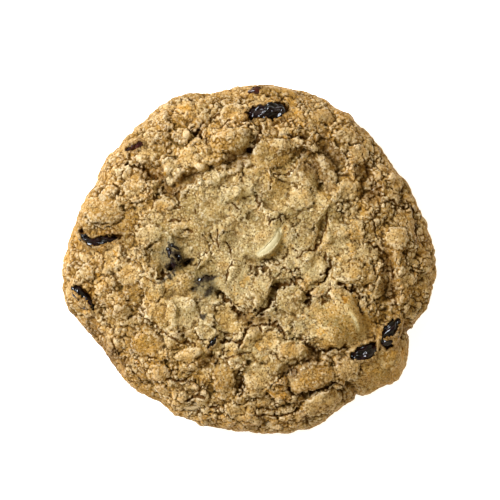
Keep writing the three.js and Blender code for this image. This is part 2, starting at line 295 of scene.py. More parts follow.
def copy_of(node, name):
    """A welded copy of a solid from the frame, as an object of its own."""
    mesh = bmesh.new()
    mesh.from_mesh(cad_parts[node].data)
    bmesh.ops.remove_doubles(mesh, verts=mesh.verts, dist=WELD)
    return object_of(name, mesh)


def triangles(piece):
    piece.data.calc_loop_triangles()
    return len(piece.data.loop_triangles)


def hand_over(piece, node=None):
    """Hides the frame's solid that a finished piece takes the place of, and hangs the piece on the body that
    carries it.
    """
    if node:
        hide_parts(node)
    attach(piece, "root")
    print(piece.name, triangles(piece), "triangles")


print("recipes ready")

# %% [markdown]
# ## Cracks
# As the cookie spread in the oven its dry skin broke. The cracks run where the photograph has them, so
# they are given one by one as lines in plan, x and y in millimetres. A line through few points is too
# smooth for a crack, so steps along it stray at random and send out short branches. The lines are guides
# for the crust: nothing of them shows.

# %% Lay out the cracks
CRACK_WAYS = [
    [(3, 33), (1.8, 29.5), (-0.5, 26)],
    [(-11, 33.5), (-13.5, 30.3), (-16.5, 27.5)],
    [(-30.5, 23.5), (-26, 22), (-22, 19)],
    [(-12, -0.5), (-17.5, -1.5), (-23, -5.5)],
    [(-10, -5.5), (-6, -9.5), (-1.5, -14)],
    [(13, -4.5), (7, -6.5), (4.5, -11.5), (1, -14.3)],
    [(20, 0), (18.8, -4.8), (15, -7.5), (14.5, -11)],
    [(22, -5.8), (26.3, -8.5), (28, -14)],
    [(9.3, -19.8), (6.5, -16.3), (-0.5, -16), (-2, -20.3), (-8, -20.3)],
    [(12.5, -19.5), (16.5, -23), (24.5, -21.8)],
    [(-2.2, -27.5), (-2.7, -31), (-2, -34.5)],
    [(8.8, -32), (13.5, -34), (22, -30)],
    [(9.3, 30.5), (12.5, 30.2), (15.6, 30.7)],
    [(-20.4, -29.8), (-17.5, -30), (-14.5, -29.6)],
    [(-16, -35.3), (-13.6, -34), (-10.5, -34.2)],
]
FINE_CRACK_WAYS = [
    [(-17.9, 12.5), (-15.9, 13.5)], [(-19.9, 9.3), (-18.4, 10), (-16.6, 8.8)],
    [(-13.4, 13), (-13.4, 10.8)], [(-16.4, 7.2), (-14.9, 7), (-13.9, 5.8)],
    [(-11.6, 5.8), (-10.6, 4.5), (-9.1, 3.8)], [(-8.1, 7.5), (-7.9, 5.8), (-8.1, 4), (-7.4, 2.3)],
    [(-9.4, 0), (-8.4, -1.5)],
    [(-6.4, 4), (-5.1, 3.5), (-4.4, 1), (-4.6, -1.3), (-5.4, -2.8), (-5.6, -5.3), (-5.9, -7)],
    [(-3.9, 13.8), (-2.4, 12), (-1.1, 11)], [(1.6, 14.5), (2.6, 13.8), (1.9, 11.5), (2.4, 10.5)],
    [(3.6, 10.8), (5.1, 9.8), (4.6, 8.3), (5.6, 7.5)], [(5.6, 9.3), (7.9, 11.3)],
    [(1.6, -1.8), (3.1, -1.8), (3.6, -3), (4.6, -4.5)], [(0.6, -1.8), (0.4, -3)],
    [(6.4, -1.5), (8.4, -0.5)], [(11.5, 0.3), (13.6, 2), (16, 2.3), (17.4, 4.4), (18, 7), (19.5, 12)],
    [(10.6, 2.8), (12.1, 1.3)], [(11.6, 6.3), (11.4, 4.5)], [(-0.1, -6), (0.9, -7.3)],
    [(18.4, 1.8), (18.9, -0.8)], [(15.1, -9.3), (14.6, -11.8)], [(17.6, -10.8), (19.6, -9.5)],
    [(5.1, -16.3), (7.6, -16.5), (8.1, -18.5)], [(-4.9, -10), (-4.4, -11.8), (-2.4, -13), (-0.9, -14.3)],
    [(-27.4, -13.8), (-24.9, -15), (-23.1, -16),
     (-21.6, -18), (-18.6, -19.2), (-16.8, -20.5), (-12.4, -20.5)],
    [(-24.9, -4.8), (-23.6, -5.8), (-21.9, -6)], [(-24.9, -24), (-22.4, -24.5)],
    [(-18.4, -23.3), (-17.1, -22.5)], [(-9.9, -36.5), (-8.1, -36.8), (-6.9, -38.3)],
    [(-37.4, -11), (-35.6, -10.8)], [(-6.1, -24.2), (-2.5, -23.6), (0.9, -22.7)],
    [(0.6, -36.4), (1.6, -38.6), (4, -39), (8.6, -38.8), (11.5, -37.8), (13, -37.2)],
    [(29, 4), (32.5, 2.2), (34.5, 0), (35.3, -4), (35, -7), (37, -13.5)],
    [(-34, -19.5), (-33.2, -22.4), (-31.4, -24.6)], [(-29.4, -26.8), (-28, -29.2), (-25.8, -31.4)],
    [(27.6, 26), (29.5, 21), (30.6, 15.8)], [(40.6, 13.5), (41.4, 7), (41.6, 0.3)],
    [(28.1, 6.8), (29.1, 8.8)], [(30.1, 11), (30.9, 7.8), (31.6, 5.3)], [(29.1, 2.8), (30.1, 0.3)],
    [(30.6, -1.5), (31.1, -4.3)], [(22.6, 20.5), (25.6, 21.3), (27.6, 20.3)],
    [(35.1, 14.8), (37.1, 13.5), (39.6, 12.8)], [(30.6, 17.3), (33.4, 17.8)], [(-31.1, 21), (-31.9, 19)],
    [(-34.1, 19), (-31.9, 18)], [(-30.9, 16.8), (-32.4, 14)],
    [(-24.4, 12.3), (-23.4, 14.3), (-20.9, 15.8)], [(-10.9, 29.8), (-10.6, 27.5)],
    [(-9.9, 34.3), (-6.9, 36)], [(-7.4, 33), (-4.1, 34.3)], [(-3.4, 32.3), (-1.1, 33.3)],
]
VALLEY_WAYS = [
    [(-24.9, 22.8), (-21.6, 19.3), (-19.4, 16.8), (-16.6, 18.8), (-13.6, 19.8)],
    [(-5.2, 23.4), (-2.4, 24.4), (0, 25.5)],
    [(12.6, 26), (15.6, 23.3), (17.6, 19.8), (20.4, 17.3)],
    [(18.1, 30.3), (19.9, 26.8), (22.1, 22.8)],
    [(28.1, 22.3), (28.9, 18.5), (30.6, 14.8), (32.1, 17.3)],
    [(33.5, 2), (34.6, -4), (34, -10.3)],
    [(-1.1, -14), (2, -14.6), (5.6, -14.8)],
    [(9, -28.2), (13, -25.5), (17.1, -23.5)],
    [(-11.1, -24.5), (-8.6, -24.8)],
    [(-40.5, -17), (-35.5, -22), (-31, -27)],
]
CRACK_STEP = 0.7  # millimetres from one kink of a crack to the next
CRACK_SPUR = 1.5  # millimetres, longest side branch
SPUR_LEAN = 1  # millimetres that a branch may lean along the crack


def jagged_lines(name, ways, seed, kink, spurs):
    """Edges in plan along each way, kinked from step to step and with short side branches."""
    draw = random.Random(seed)
    mesh = bmesh.new()
    for way in ways:
        last = None
        for start, end in zip(way, way[1:]):
            along = Vector(end) - Vector(start)
            across = Vector((-along.y, along.x)).normalized()
            steps = max(1, round(along.length / CRACK_STEP))
            for i in range(steps):
                place = Vector(start) + along * (i / steps) + across * draw.uniform(-kink, kink)
                point = mesh.verts.new((place * MM).to_3d())
                if last:
                    mesh.edges.new((last, point))
                if draw.random() < spurs:
                    tip = place + across * draw.uniform(-CRACK_SPUR, CRACK_SPUR)
                    tip = tip + along.normalized() * draw.uniform(-SPUR_LEAN, SPUR_LEAN)
                    mesh.edges.new((point, mesh.verts.new((tip * MM).to_3d())))
                last = point
    guide = object_of(name, mesh)
    print(name, "of", len(guide.data.edges), "edges")
    return guide


crack_lines = jagged_lines("crack_lines", CRACK_WAYS, 1, kink=0.4, spurs=0.2)
fine_crack_lines = jagged_lines("fine_crack_lines", FINE_CRACK_WAYS, 2, kink=0.2, spurs=0.1)
valley_lines = jagged_lines("valley_lines", VALLEY_WAYS, 3, kink=0.4, spurs=0.3)

# %% [markdown]
# ## Windows in the dough
# The dough closed over most of the fruit as it baked. Each raisin or chip shows only where the dough broke
# open above it. A window is a chain of discs in plan, laid where the photograph shows fruit. The windows
# are guides too.

# %% Lay out the windows
WINDOWS = [  # x, y and radius of each disc in millimetres, one chain for each opening
    [(0.1, 35.7, 0.8), (2.1, 36.2, 1.3), (4.1, 36.5, 1.5), (6.4, 36.8, 1.8), (8.2, 37.2, 1.2)],
    [(5.6, 34.6, 0.4), (6, 35.4, 0.8)],
    [(-41.9, 7, 0.2), (-40.6, 5.3, 0.45), (-38.6, 4, 0.8), (-36.4, 4.7, 0.75), (-34.1, 5.1, 0.65),
     (-32.1, 5.6, 0.4)],
    [(-43.3, -7.2, 0.5), (-42.2, -7.4, 0.9), (-40.9, -8.2, 1.0), (-39.7, -9.2, 0.7)],
    [(-39.7, -9.4, 0.4), (-38.8, -11.4, 0.25), (-38.4, -12.8, 0.1)],
    [(-30.3, 27.1, 0.05), (-28.4, 27.6, 0.35), (-27.2, 28.3, 0.5)],
    [(0.8, 42, 0.1), (2.6, 42.2, 0.15)],
    [(-18.2, 1, 0.1), (-17.4, 0.3, 0.3)],
    [(-18.6, -1.4, 0.25), (-19.6, -2.4, 0.35)],
    [(-12.4, -5.2, 0.05), (-10.9, -4.2, 0.1), (-9.2, -4.1, 0.05)],
    [(-8.3, -18.9, 0.1), (-8.9, -20.2, 0.3), (-9.9, -21.7, 0.1)],
    [(36.8, -15.4, 0.5), (35.5, -16.1, 1.05), (34.5, -17.4, 1.3), (33.4, -18.4, 0.75)],
    [(32.9, -20.5, 0.5), (34.3, -21.1, 0.95)],
    [(25.7, -23.7, 0.8), (27.4, -23, 1.3), (28.9, -22.9, 1.7), (30.3, -21.6, 0.9)],
]
CLEAN_EDGES = [  # the same for the chips, whose windows have soft edges
    [(7.2, 7.1, 0.05), (6.8, 5.4, 0.25), (5.6, 3.7, 0.35), (4.1, 2.3, 0.3), (2.4, 1.3, 0.05)],
]
PALE_STREAKS = [  # where a chip shines through the dough over it
    [(24.6, -13, 0.05), (25.8, -14.8, 0.2), (26.8, -17.4, 0.05)],
]
# Dark streaks are raisins showing dark through thin dough, and painted shadow in the crevice by the hollow
# raisin.
DARK_STREAKS = [  # where a raisin shows dark through the dough over it
    [(-20, 4, 0.3), (-19.6, 3.6, 0.3)], [(-20.1, 2.2, 0.3), (-18.4, 1.5, 0.8), (-17.4, 0.5, 0.4)],
    [(-19.9, -2, 0.8), (-18.6, -1, 0.7)], [(-16.9, -0.9, 0.3), (-15.6, -0.5, 0.4), (-14.6, -0.3, 0.2)],
    [(-22.9, -6, 0.05), (-20.9, -5, 0.15), (-19.1, -4.2, 0.25), (-18.6, -3, 0.2)],
    [(-14.1, -7.7, 0.05), (-13.1, -6.5, 0.25), (-12.1, -5.2, 0.25), (-10.6, -4.5, 0.5), (-8.1, -4.5, 0.1)],
    [(-9.1, -6.3, 0.2), (-9.6, -7.7, 0.3), (-10.6, -9, 0.2)], [(-11.8, -14.1, 0.3), (-11.3, -14.1, 0.3)],
]
SMOOTH_PATCHES = [  # where the skin is calm and has no crumbs
    [(23, -15.8, 5.5), (24, -15.8, 5.5)], [(31, -30, 2.5), (34, -27, 3.5), (36.5, -23, 2.5)],
    [(36.4, 5.3, 2), (36, 4, 2)],
]
DISC_SIDES = 14
DISCS_BETWEEN = 4  # discs laid from one given disc to the next


def disc_guide(name, chains):
    """Flat discs along chains of given discs, as one object."""
    mesh = bmesh.new()
    turns = [math.tau * k / DISC_SIDES for k in range(DISC_SIDES)]
    for chain in chains:
        for start, end in zip(chain, chain[1:]):
            for i in range(DISCS_BETWEEN + 1):
                x, y, radius = Vector(start).lerp(Vector(end), i / DISCS_BETWEEN) * MM
                ring = [(x + radius * math.cos(a), y + radius * math.sin(a), 0) for a in turns]
                mesh.faces.new([mesh.verts.new(point) for point in ring])
    guide = object_of(name, mesh)
    print(name, "of", len(guide.data.polygons), "discs")
    return guide


windows = disc_guide("windows", WINDOWS)
clean_edges = disc_guide("clean_edges", CLEAN_EDGES)
pale_streaks = disc_guide("pale_streaks", PALE_STREAKS)
dark_streaks = disc_guide("dark_streaks", DARK_STREAKS)
smooth_patches = disc_guide("smooth_patches", SMOOTH_PATCHES)

# %% [markdown]
# ## Lumps that can be told apart
# Most of the heap is too small to follow, but the largest lumps give this cookie its face. Each is laid
# down in plan as a low ellipsoid, with a tone from pale to toasted, over a disc that becomes the crevice
# around the lump. They are a guide as well: the skin is lifted to their height.

# %% Lay out the lumps
LUMPS = [  # x, y, half length, half width and height in millimetres, turn in degrees, and tone
    (-16.6, 30.3, 2.5, 2.2, 0.9, 0, 0.6), (-11.6, 34.5, 2.8, 1.8, 0.9, 70, 0.45),
    (-19.4, 23.2, 2.3, 2.0, 0.8, 0, 0.6), (-14.9, 24.8, 2.8, 2.7, 0.7, 0, 0.65),
    (-4.4, 29, 5.3, 3.4, 1.0, 5, 0.4), (-36.6, 12.2, 5.8, 3.4, 0.8, -10, 0.5),
    (-21.1, 13.5, 2.8, 2.2, 0.7, 0, 0.85), (-8.9, 12.2, 3.8, 3.0, 0.6, 0, 0.4),
    (-28.6, 18, 3.0, 2.5, 0.7, 20, 0.5), (-31.1, 21.5, 2.4, 1.8, 0.7, 40, 0.5),
    (-34.9, 16.6, 2.6, 1.8, 0.6, 30, 0.5), (-24.4, 29.8, 2.6, 1.8, 0.6, 30, 0.6),
    (-25.4, 25.3, 2.8, 2.0, 0.6, 20, 0.6), (-20.4, 33, 2.0, 1.6, 0.6, 0, 0.45),
    (-21.9, 35.3, 2.1, 1.4, 0.6, 50, 0.5), (-4.9, 36, 3.8, 2.4, 0.7, 20, 0.65),
    (-17.4, 7.2, 2.3, 2.3, 0.6, 0, 0.5), (-24.9, 6, 3.6, 2.6, 0.6, 30, 0.65),
    (-15.4, -5.5, 2.5, 2.2, 0.8, 0, 0.4), (-16.6, -12.8, 4.5, 4.2, 0.6, 0, 0.55),
    (-39.9, -3, 2.0, 2.4, 0.6, 0, 0.45), (-36.6, -7.6, 1.6, 2.1, 0.8, 0, 0.65),
    (-25.4, -20.8, 4.2, 3.2, 0.6, 10, 0.3), (-18.6, -19.8, 2.6, 2.2, 0.6, 0, 0.45),
    (-14.9, -23.6, 3.5, 1.7, 0.6, 15, 0.65), (-22.4, -28.3, 3.0, 2.5, 0.8, 0, 0.75),
    (-21.6, -32.8, 2.2, 1.5, 0.6, -40, 0.45), (-6.2, -30.3, 4.8, 3.0, 1.0, 95, 0.45),
    (1.8, -29.8, 4.6, 3.3, 0.6, 85, 0.6), (10.6, -22.8, 3.9, 2.7, 1.0, -10, 0.8),
    (15.1, -29, 6.0, 3.9, 1.0, 20, 0.4), (24.1, -27.3, 3.2, 3.0, 0.8, 0, 0.65),
    (10.1, -9.8, 4.0, 3.8, 0.7, 0, 0.4), (3.1, -7.3, 4.6, 2.6, 0.7, 80, 0.45),
    (15.6, -2, 3.3, 3.2, 0.7, 0, 0.5), (23.9, -3.3, 3.6, 2.5, 0.8, 0, 0.55),
    (12.1, -17.3, 2.4, 1.5, 0.7, 80, 0.7), (1.6, -18, 2.4, 2.0, 0.7, 0, 0.5),
    (18.1, -35.8, 5.2, 3.0, 0.6, 25, 0.6), (12.6, 14.8, 3.4, 3.0, 0.6, 0, 0.7),
    (14.4, 20.4, 3.4, 2.4, 0.6, 110, 0.5), (5.6, 26, 6.0, 3.8, 0.6, 15, 0.4),
    (18.9, 22.3, 4.0, 2.4, 0.7, -60, 0.5), (24.1, 17.3, 2.6, 2.6, 0.6, 0, 0.65),
    (27, 26, 2.8, 2.8, 0.7, 0, 0.75), (24, 30.6, 3.2, 2.0, 0.6, -10, 0.65),
    (18, 35.5, 3.0, 1.8, 0.6, 0, 0.8), (36.4, 5.3, 3.2, 3.0, 0.7, 0, 0.6),
    (36.4, 19.3, 2.6, 1.8, 0.6, -50, 0.7), (20.6, 5, 4.6, 3.6, 0.5, 70, 0.5),
    (13.4, 5, 2.8, 2.4, 0.5, 90, 0.3), (29, 1.5, 3.0, 2.4, 0.6, 0, 0.55),
    (-29.5, -4, 3.4, 2.6, 0.5, 30, 0.6), (-31.5, -13, 2.6, 2.2, 0.6, 0, 0.6),
    (-24, -13.5, 3.0, 2.4, 0.6, 40, 0.55), (3, 5.6, 2.6, 1.8, 0.35, 45, 0.85),
    (-12, -34.5, 2.6, 1.6, 0.6, 10, 0.6), (-8, 20, 2.8, 2.2, 0.5, 0, 0.45),
    (-1.5, 17.5, 3.0, 2.4, 0.5, 30, 0.45), (-17.5, 21.3, 1.8, 1.4, 1.0, 30, 0.5),
    (-11.6, 22.2, 1.8, 1.3, 1.1, -20, 0.6), (-8.2, 23.4, 1.6, 1.4, 1.0, 10, 0.45),
    (-5.2, 24.8, 1.8, 1.2, 1.1, 40, 0.6), (-2, 26, 1.7, 1.2, 1.0, 0, 0.5),
    (-14.2, 17.6, 1.6, 1.2, 0.8, 0, 0.5), (-9.8, 18.8, 1.5, 1.1, 0.8, 20, 0.45),
    (-4.4, 21.8, 1.6, 1.1, 0.8, 30, 0.5), (-0.6, 23.6, 1.5, 1.1, 0.8, 0, 0.55),
    (-16.4, 16.3, 1.3, 1.0, 1.1, 50, 0.55), (-12.1, 18.9, 1.2, 0.9, 1.2, -30, 0.45),
    (-7.3, 20.4, 1.4, 1.0, 1.1, 15, 0.6), (-2.6, 22.9, 1.2, 0.9, 1.1, 60, 0.5),
    (-6.1, 22.6, 1.1, 0.8, 1.3, 20, 0.55), (-13.2, 20.4, 1.0, 0.8, 1.3, 0, 0.5),
]
LUMP_SWELL = 1.25  # the skin takes up only part of a lump's height, so it is laid down higher
LUMP_SIDES = 20
LUMP_RINGS = 12
MOAT_DEPTH = 0.35 * MM  # of the crevice around a lump
MOAT_REACH = 1.1  # times the lump's size


def lump_heap(name):
    """Ellipsoids in plan, each with its tone on its points."""
    mesh = bmesh.new()
    tone_of = mesh.verts.layers.float.new("tone")
    for x, y, half_length, half_width, height, turn, tone in LUMPS:
        size = (half_length * MM, half_width * MM, LUMP_SWELL * height * MM, 1)
        place = Matrix.Translation((x * MM, y * MM, 0)) @ Matrix.Rotation(math.radians(turn), 4, "Z")
        place = place @ Matrix.Diagonal(size)
        made = bmesh.ops.create_uvsphere(
            mesh, u_segments=LUMP_SIDES, v_segments=LUMP_RINGS, radius=1, matrix=place,
        )
        moat = Matrix.Translation((0, 0, -MOAT_DEPTH)) @ place @ Matrix.Scale(MOAT_REACH, 4)
        bmesh.ops.create_circle(mesh, cap_ends=True, segments=LUMP_SIDES, radius=1, matrix=moat)
        for vertex in made["verts"]:
            vertex[tone_of] = tone
    return object_of(name, mesh)


lump_guide = lump_heap("lump_guide")
print(len(LUMPS), "lumps")

# %% [markdown]
# ## The form of the dough
# The crust starts as the dough with the fruit in it, each fruit swollen a little by the film of dough over
# it. A voxel remesh joins them all into one skin of small even faces, and smoothing takes the facets away.
# The flat underside needs few faces, so it is thinned out to leave more of them for the top.

# %% Join the dough and the fruit under one skin
FILM = 0.4 * MM  # of dough over a raisin
CHIP_FILM = 0.45 * MM
SKIN_VOXEL = 0.4 * MM
FORM_SMOOTHING = 18  # rounds
VEILED = ["raisin_veiled", "raisin_hollow"]  # raisins that show grey through the dough
UNDERSIDE_HEIGHT = 0.05 * MM
UNDERSIDE_KEPT = 0.1  # share of the underside's faces that stay


def joined(name, films):
    """One object of several solids, each swollen by its film."""
    mesh = bmesh.new()
    for node, film in films.items():
        piece = copy_of(node, node)
        normals = [vertex.normal.copy() for vertex in piece.data.vertices]
        for vertex, normal in zip(piece.data.vertices, normals):
            vertex.co += normal * film
        mesh.from_mesh(piece.data)
        bpy.data.objects.remove(piece)
    return object_of(name, mesh)


def main_part(piece):
    """Removes the specks that a remesh leaves loose beside the body."""
    mesh = bmesh.new()
    mesh.from_mesh(piece.data)
    unseen = set(mesh.verts)
    parts = []
    while unseen:
        front = [unseen.pop()]
        part = []
        while front:
            vertex = front.pop()
            part.append(vertex)
            beside = [edge.other_vert(vertex) for edge in vertex.link_edges]
            new = [other for other in beside if other in unseen]
            unseen.difference_update(new)
            front.extend(new)
        parts.append(part)
    parts.sort(key=len)
    specks = [vertex for part in parts[:-1] for vertex in part]
    bmesh.ops.delete(mesh, geom=specks, context="VERTS")
    mesh.to_mesh(piece.data)
    mesh.free()


fruit_guide = joined("fruit_guide", dict.fromkeys(RAISINS + CHIPS, 0))
raisin_guide = joined("raisin_guide", dict.fromkeys(VEILED, 0))
crust = joined("crust", {"dough": 0, **dict.fromkeys(RAISINS, FILM), **dict.fromkeys(CHIPS, CHIP_FILM)})
remesh = crust.modifiers.new("even faces", "REMESH")
remesh.mode = "VOXEL"
remesh.voxel_size = SKIN_VOXEL
smooth = crust.modifiers.new("no facets", "SMOOTH")
smooth.factor = 0.5
smooth.iterations = FORM_SMOOTHING
plain(crust)
main_part(crust)
low = [v.index for v in crust.data.vertices if v.co.z < UNDERSIDE_HEIGHT]
group = crust.vertex_groups.new(name="underside")
group.add(low, 1.0, "REPLACE")
thin = crust.modifiers.new("thin underside", "DECIMATE")
thin.vertex_group = group.name
thin.ratio = 1 - (1 - UNDERSIDE_KEPT) * len(low) / len(crust.data.vertices)
plain(crust)
crust.vertex_groups.clear()
print("form", triangles(crust), "triangles")

# %% [markdown]
# ## Fields
# In a recipe a field is a number or a direction that each point works out for itself: how far it lies from
# a guide, how a noise stands there, or what a ray from above would meet. The functions below name the few
# fields that all the recipes are made of.


# %% Fields that several recipes share
RAY_START = (0, 0, 1)  # metres, from a place in plan to well above the cookie
RAY_LENGTH = 2.0


def in_plan(place):
    return place.vector("MULTIPLY", (1, 1, 0))


def fields(wire):
    """Position, normal and position in plan of the geometry that a field is read on."""
    place = wire.node("GeometryNodeInputPosition")
    return place, wire.node("GeometryNodeInputNormal"), in_plan(place)


def part_of(vector, axis):
    return vector.node("ShaderNodeSeparateXYZ", None, {"Vector": vector}, axis)


def xyz(wire, **parts):
    return wire.node("ShaderNodeCombineXYZ", None, parts)


def from_axis(place):
    """Distance in plan from the middle of the cookie."""
    return place.node("ShaderNodeVectorMath", {"operation": "LENGTH"}, {0: in_plan(place)}, "Value")


def shape_of(thing):
    return thing.node("GeometryNodeObjectInfo", None, {"Object": thing}, "Geometry")


def distance_to(thing, source, element):
    inputs = {"Geometry": shape_of(thing), "Sample Position": source}
    return thing.node("GeometryNodeProximity", {"target_element": element}, inputs, "Distance")


def ray_down(thing, plan, attribute=0.0):
    """Whether a ray from above meets a thing. Its node also tells where, and the thing's attribute there."""
    return thing.node("GeometryNodeRaycast", {"data_type": "FLOAT", "mapping": "NEAREST"}, {
        "Target Geometry": shape_of(thing), "Attribute": attribute, "Ray Length": RAY_LENGTH,
        "Source Position": plan.vector("ADD", RAY_START), "Ray Direction": (0, 0, -1),
    }, "Is Hit")


def noise(place, size, detail=2.0, out="Fac", seed=0.0):
    inputs = {"Vector": place, "W": seed, "Scale": 1 / size, "Detail": detail}
    return place.node("ShaderNodeTexNoise", {"noise_dimensions": "4D"}, inputs, out)


def wobble(place, size, detail):
    """A random direction from -0.5 to 0.5 on each axis, that changes over the given size."""
    return noise(place, size, detail, "Color").vector("SUBTRACT", (0.5, 0.5, 0.5))


def strayed(place, size, reach, detail=3.0, by=None):
    """A place moved by a wobble of the given size, up to half the reach. The wobble is read at `by`."""
    return place.vector("ADD", wobble(by or place, size, detail).scaled(reach))


def moved(geometry, offset):
    return geometry.node("GeometryNodeSetPosition", None, {"Geometry": geometry, "Offset": offset})


def chance(inlet, low, high, salt):
    """A random number for each point, which the tree's seed and the salt fix."""
    inputs = {"Min": low, "Max": high, "Seed": inlet["Seed"] + salt}
    return inlet.node("FunctionNodeRandomValue", {"data_type": "FLOAT"}, inputs)


def stored(geometry, name, value, kind="FLOAT", domain="POINT"):
    inputs = {"Geometry": geometry, "Name": name, "Value": value}
    return geometry.node("GeometryNodeStoreNamedAttribute", {"data_type": kind, "domain": domain}, inputs)


def read_back(wire, name, kind):
    return wire.node("GeometryNodeInputNamedAttribute", {"data_type": kind}, {"Name": name}, "Attribute")


print("fields ready")


# %% [markdown]
# ## Lumps, cracks and hollows
# The dough is a heap of oat clusters that baked together. Seen close, each cluster is made of nuggets, and
# each nugget of round nodules. A Voronoi texture is a ready picture of the nodules: its cells. A larger
# Voronoi texture, looked up at the middle of each nodule, says which cluster the nodule belongs to. Where
# two nodules that touch belong to different clusters, a crevice runs between them, so every crevice is
# scalloped like a real one. Pebbles lie between nuggets and nodules in size, and have cells of their own.
# The recipe moves the skin's points by these lumps. It also stores where each point started, so that the
# material can work out the same lumps and paint shade into the same crevices.

# %% Lumps that the recipe and the finish share
CLUSTER = 8.0 * MM
NUGGET = 4.6 * MM
PEBBLE = 2.4 * MM
NODULE = 0.9 * MM
BEND = 0.7  # of a lump's size, by which its outline is bent
DOME_TOP = 0.33  # makes a dome about 0 high on average


def cells(place, size, feature, out="Distance"):
    inputs = {"Vector": place, "Scale": 1 / size}
    return place.node("ShaderNodeTexVoronoi", {"feature": feature}, inputs, out)


def dot(first, second):
    return first.node("ShaderNodeVectorMath", {"operation": "DOT_PRODUCT"}, {0: first, 1: second}, "Value")


def pillows(place, size, seed):
    """Height of pillows with sharp crevices where a noise changes its sign, about 0 on average."""
    level = noise(place, size, 1.0, seed=seed) - 0.5
    height = level.sum("ABSOLUTE", level) * 5
    return height.sum("POWER", height, 0.7) - 0.6


def bent_for(place, size):
    """The place, strayed so that lumps of the given size come out uneven."""
    return strayed(place, size * BEND, size * BEND, 1.0)


def belonging(nodule, size):
    """A random number for the lump of the given size that a nodule belongs to."""
    return part_of(cells(bent_for(nodule, size), size, "F1", "Color"), "X")


def dome(place, size):
    """Height of round lumps about the middles of the cells, about 0 on average."""
    reach = cells(place, size, "F1")
    return DOME_TOP - reach * reach


def unlike(first, second):
    gap = first - second
    return gap.sum("ABSOLUTE", gap).step(0.0, 0.01)


class Lumps:
    """The lumps at a place: their tones, their heights, how near their edges are and where they part."""

    def __init__(self, place):
        spot = strayed(place, 0.9 * MM, 1.0 * MM)
        ragged = strayed(place, 1.5 * MM, 1.4 * MM)
        mine = cells(spot, NODULE, "F1", "Position")
        other = cells(spot, NODULE, "F2", "Position")
        self.pull = mine.vector("SUBTRACT", spot)
        self.cluster = belonging(mine, CLUSTER)
        self.nugget = belonging(mine, NUGGET)
        self.nodule = part_of(mine["Color"], "X")
        self.body = dome(bent_for(place, NUGGET), NUGGET)
        self.pebble = dome(ragged, PEBBLE)
        self.bead = dome(spot, NODULE)
        self.edge = cells(spot, NODULE, "DISTANCE_TO_EDGE") * NODULE
        self.pebble_edge = cells(ragged, PEBBLE, "DISTANCE_TO_EDGE") * PEBBLE
        self.outer = from_axis(place).step(0.35 * RADIUS, 0.8 * RADIUS)

        broken = noise(place, 1.4 * MM, seed=8.0).step(0.36, 0.52)
        gap = 0.3 + 0.7 * broken
        outward = 0.5 + 0.5 * self.outer
        parted = unlike(self.cluster, belonging(other, CLUSTER))
        self.cluster_open = parted * noise(place, 9 * MM).step(0.38, 0.56) * gap
        parted = unlike(self.nugget, belonging(other, NUGGET))
        loose = noise(place, 4 * MM, seed=2.0) + self.outer * 0.12
        self.nugget_open = parted * loose.step(0.44, 0.6) * gap * outward
        patches = noise(place, 3.2 * MM, seed=12.0).step(0.46, 0.6)
        self.pebble_open = patches * (0.2 + 0.8 * broken) * outward


print("lumps of", in_mm((CLUSTER, NUGGET, PEBBLE, NODULE)), "mm")


# %% Parts of the recipe for the skin
def depth_below(place, normal, reach):
    """How far a point lies under the mean of its neighbours, up to so many edges away."""
    inputs = {"Value": place, "Iterations": reach}
    mean = place.node("GeometryNodeBlurAttribute", {"data_type": "FLOAT_VECTOR"}, inputs)
    return dot(mean.vector("SUBTRACT", place), normal)


def crack_reach(lines, plan, width):
    """How far a place lies from the edge of the nearest crack, less than 0 inside it."""
    near = distance_to(lines, plan, "EDGES")
    return near - width * (noise(near["Position"], 2.5 * MM, seed=6.0) * 4 - 1.3)


def lump_below(lumps, plan):
    """Height and tone of the laid-out lump at a place in plan, by a ray from above."""
    hit = ray_down(lumps, plan, read_back(lumps, "tone", "FLOAT"))
    return hit * part_of(hit["Hit Position"], "Z"), hit["Attribute"]


def heap_height(inlet, place, lump):
    """Height of the heap of lumps of every size, about 0 on average."""
    cluster_gap = lump.edge.step(0.36 * MM, 0.08 * MM) * lump.cluster_open
    nugget_gap = lump.edge.step(0.26 * MM, 0.04 * MM) * lump.nugget_open
    pebble_gap = lump.pebble_edge.step(0.25 * MM, 0.04 * MM) * lump.pebble_open
    cluster = (lump.cluster - 0.5) * inlet["Cluster Step"] - cluster_gap * inlet["Cluster Gap"]
    nugget = ((lump.nugget - 0.5) * 0.4 + lump.body * 1.6) * inlet["Nugget Step"]
    nugget = nugget - nugget_gap * inlet["Nugget Gap"]
    pebble = lump.pebble * 1.2 * inlet["Pebble Height"] - pebble_gap * inlet["Pebble Gap"]
    nodule = (lump.bead * 1.5 + (lump.nodule - 0.5) * 0.5) * inlet["Nodule Height"]
    pillow = pillows(place, inlet["Pillow"], 2.0) * inlet["Pillow Height"]
    coarse = 0.45 + 0.7 * lump.outer
    return cluster + (nugget + pebble) * coarse + nodule + pillow


print("parts ready")


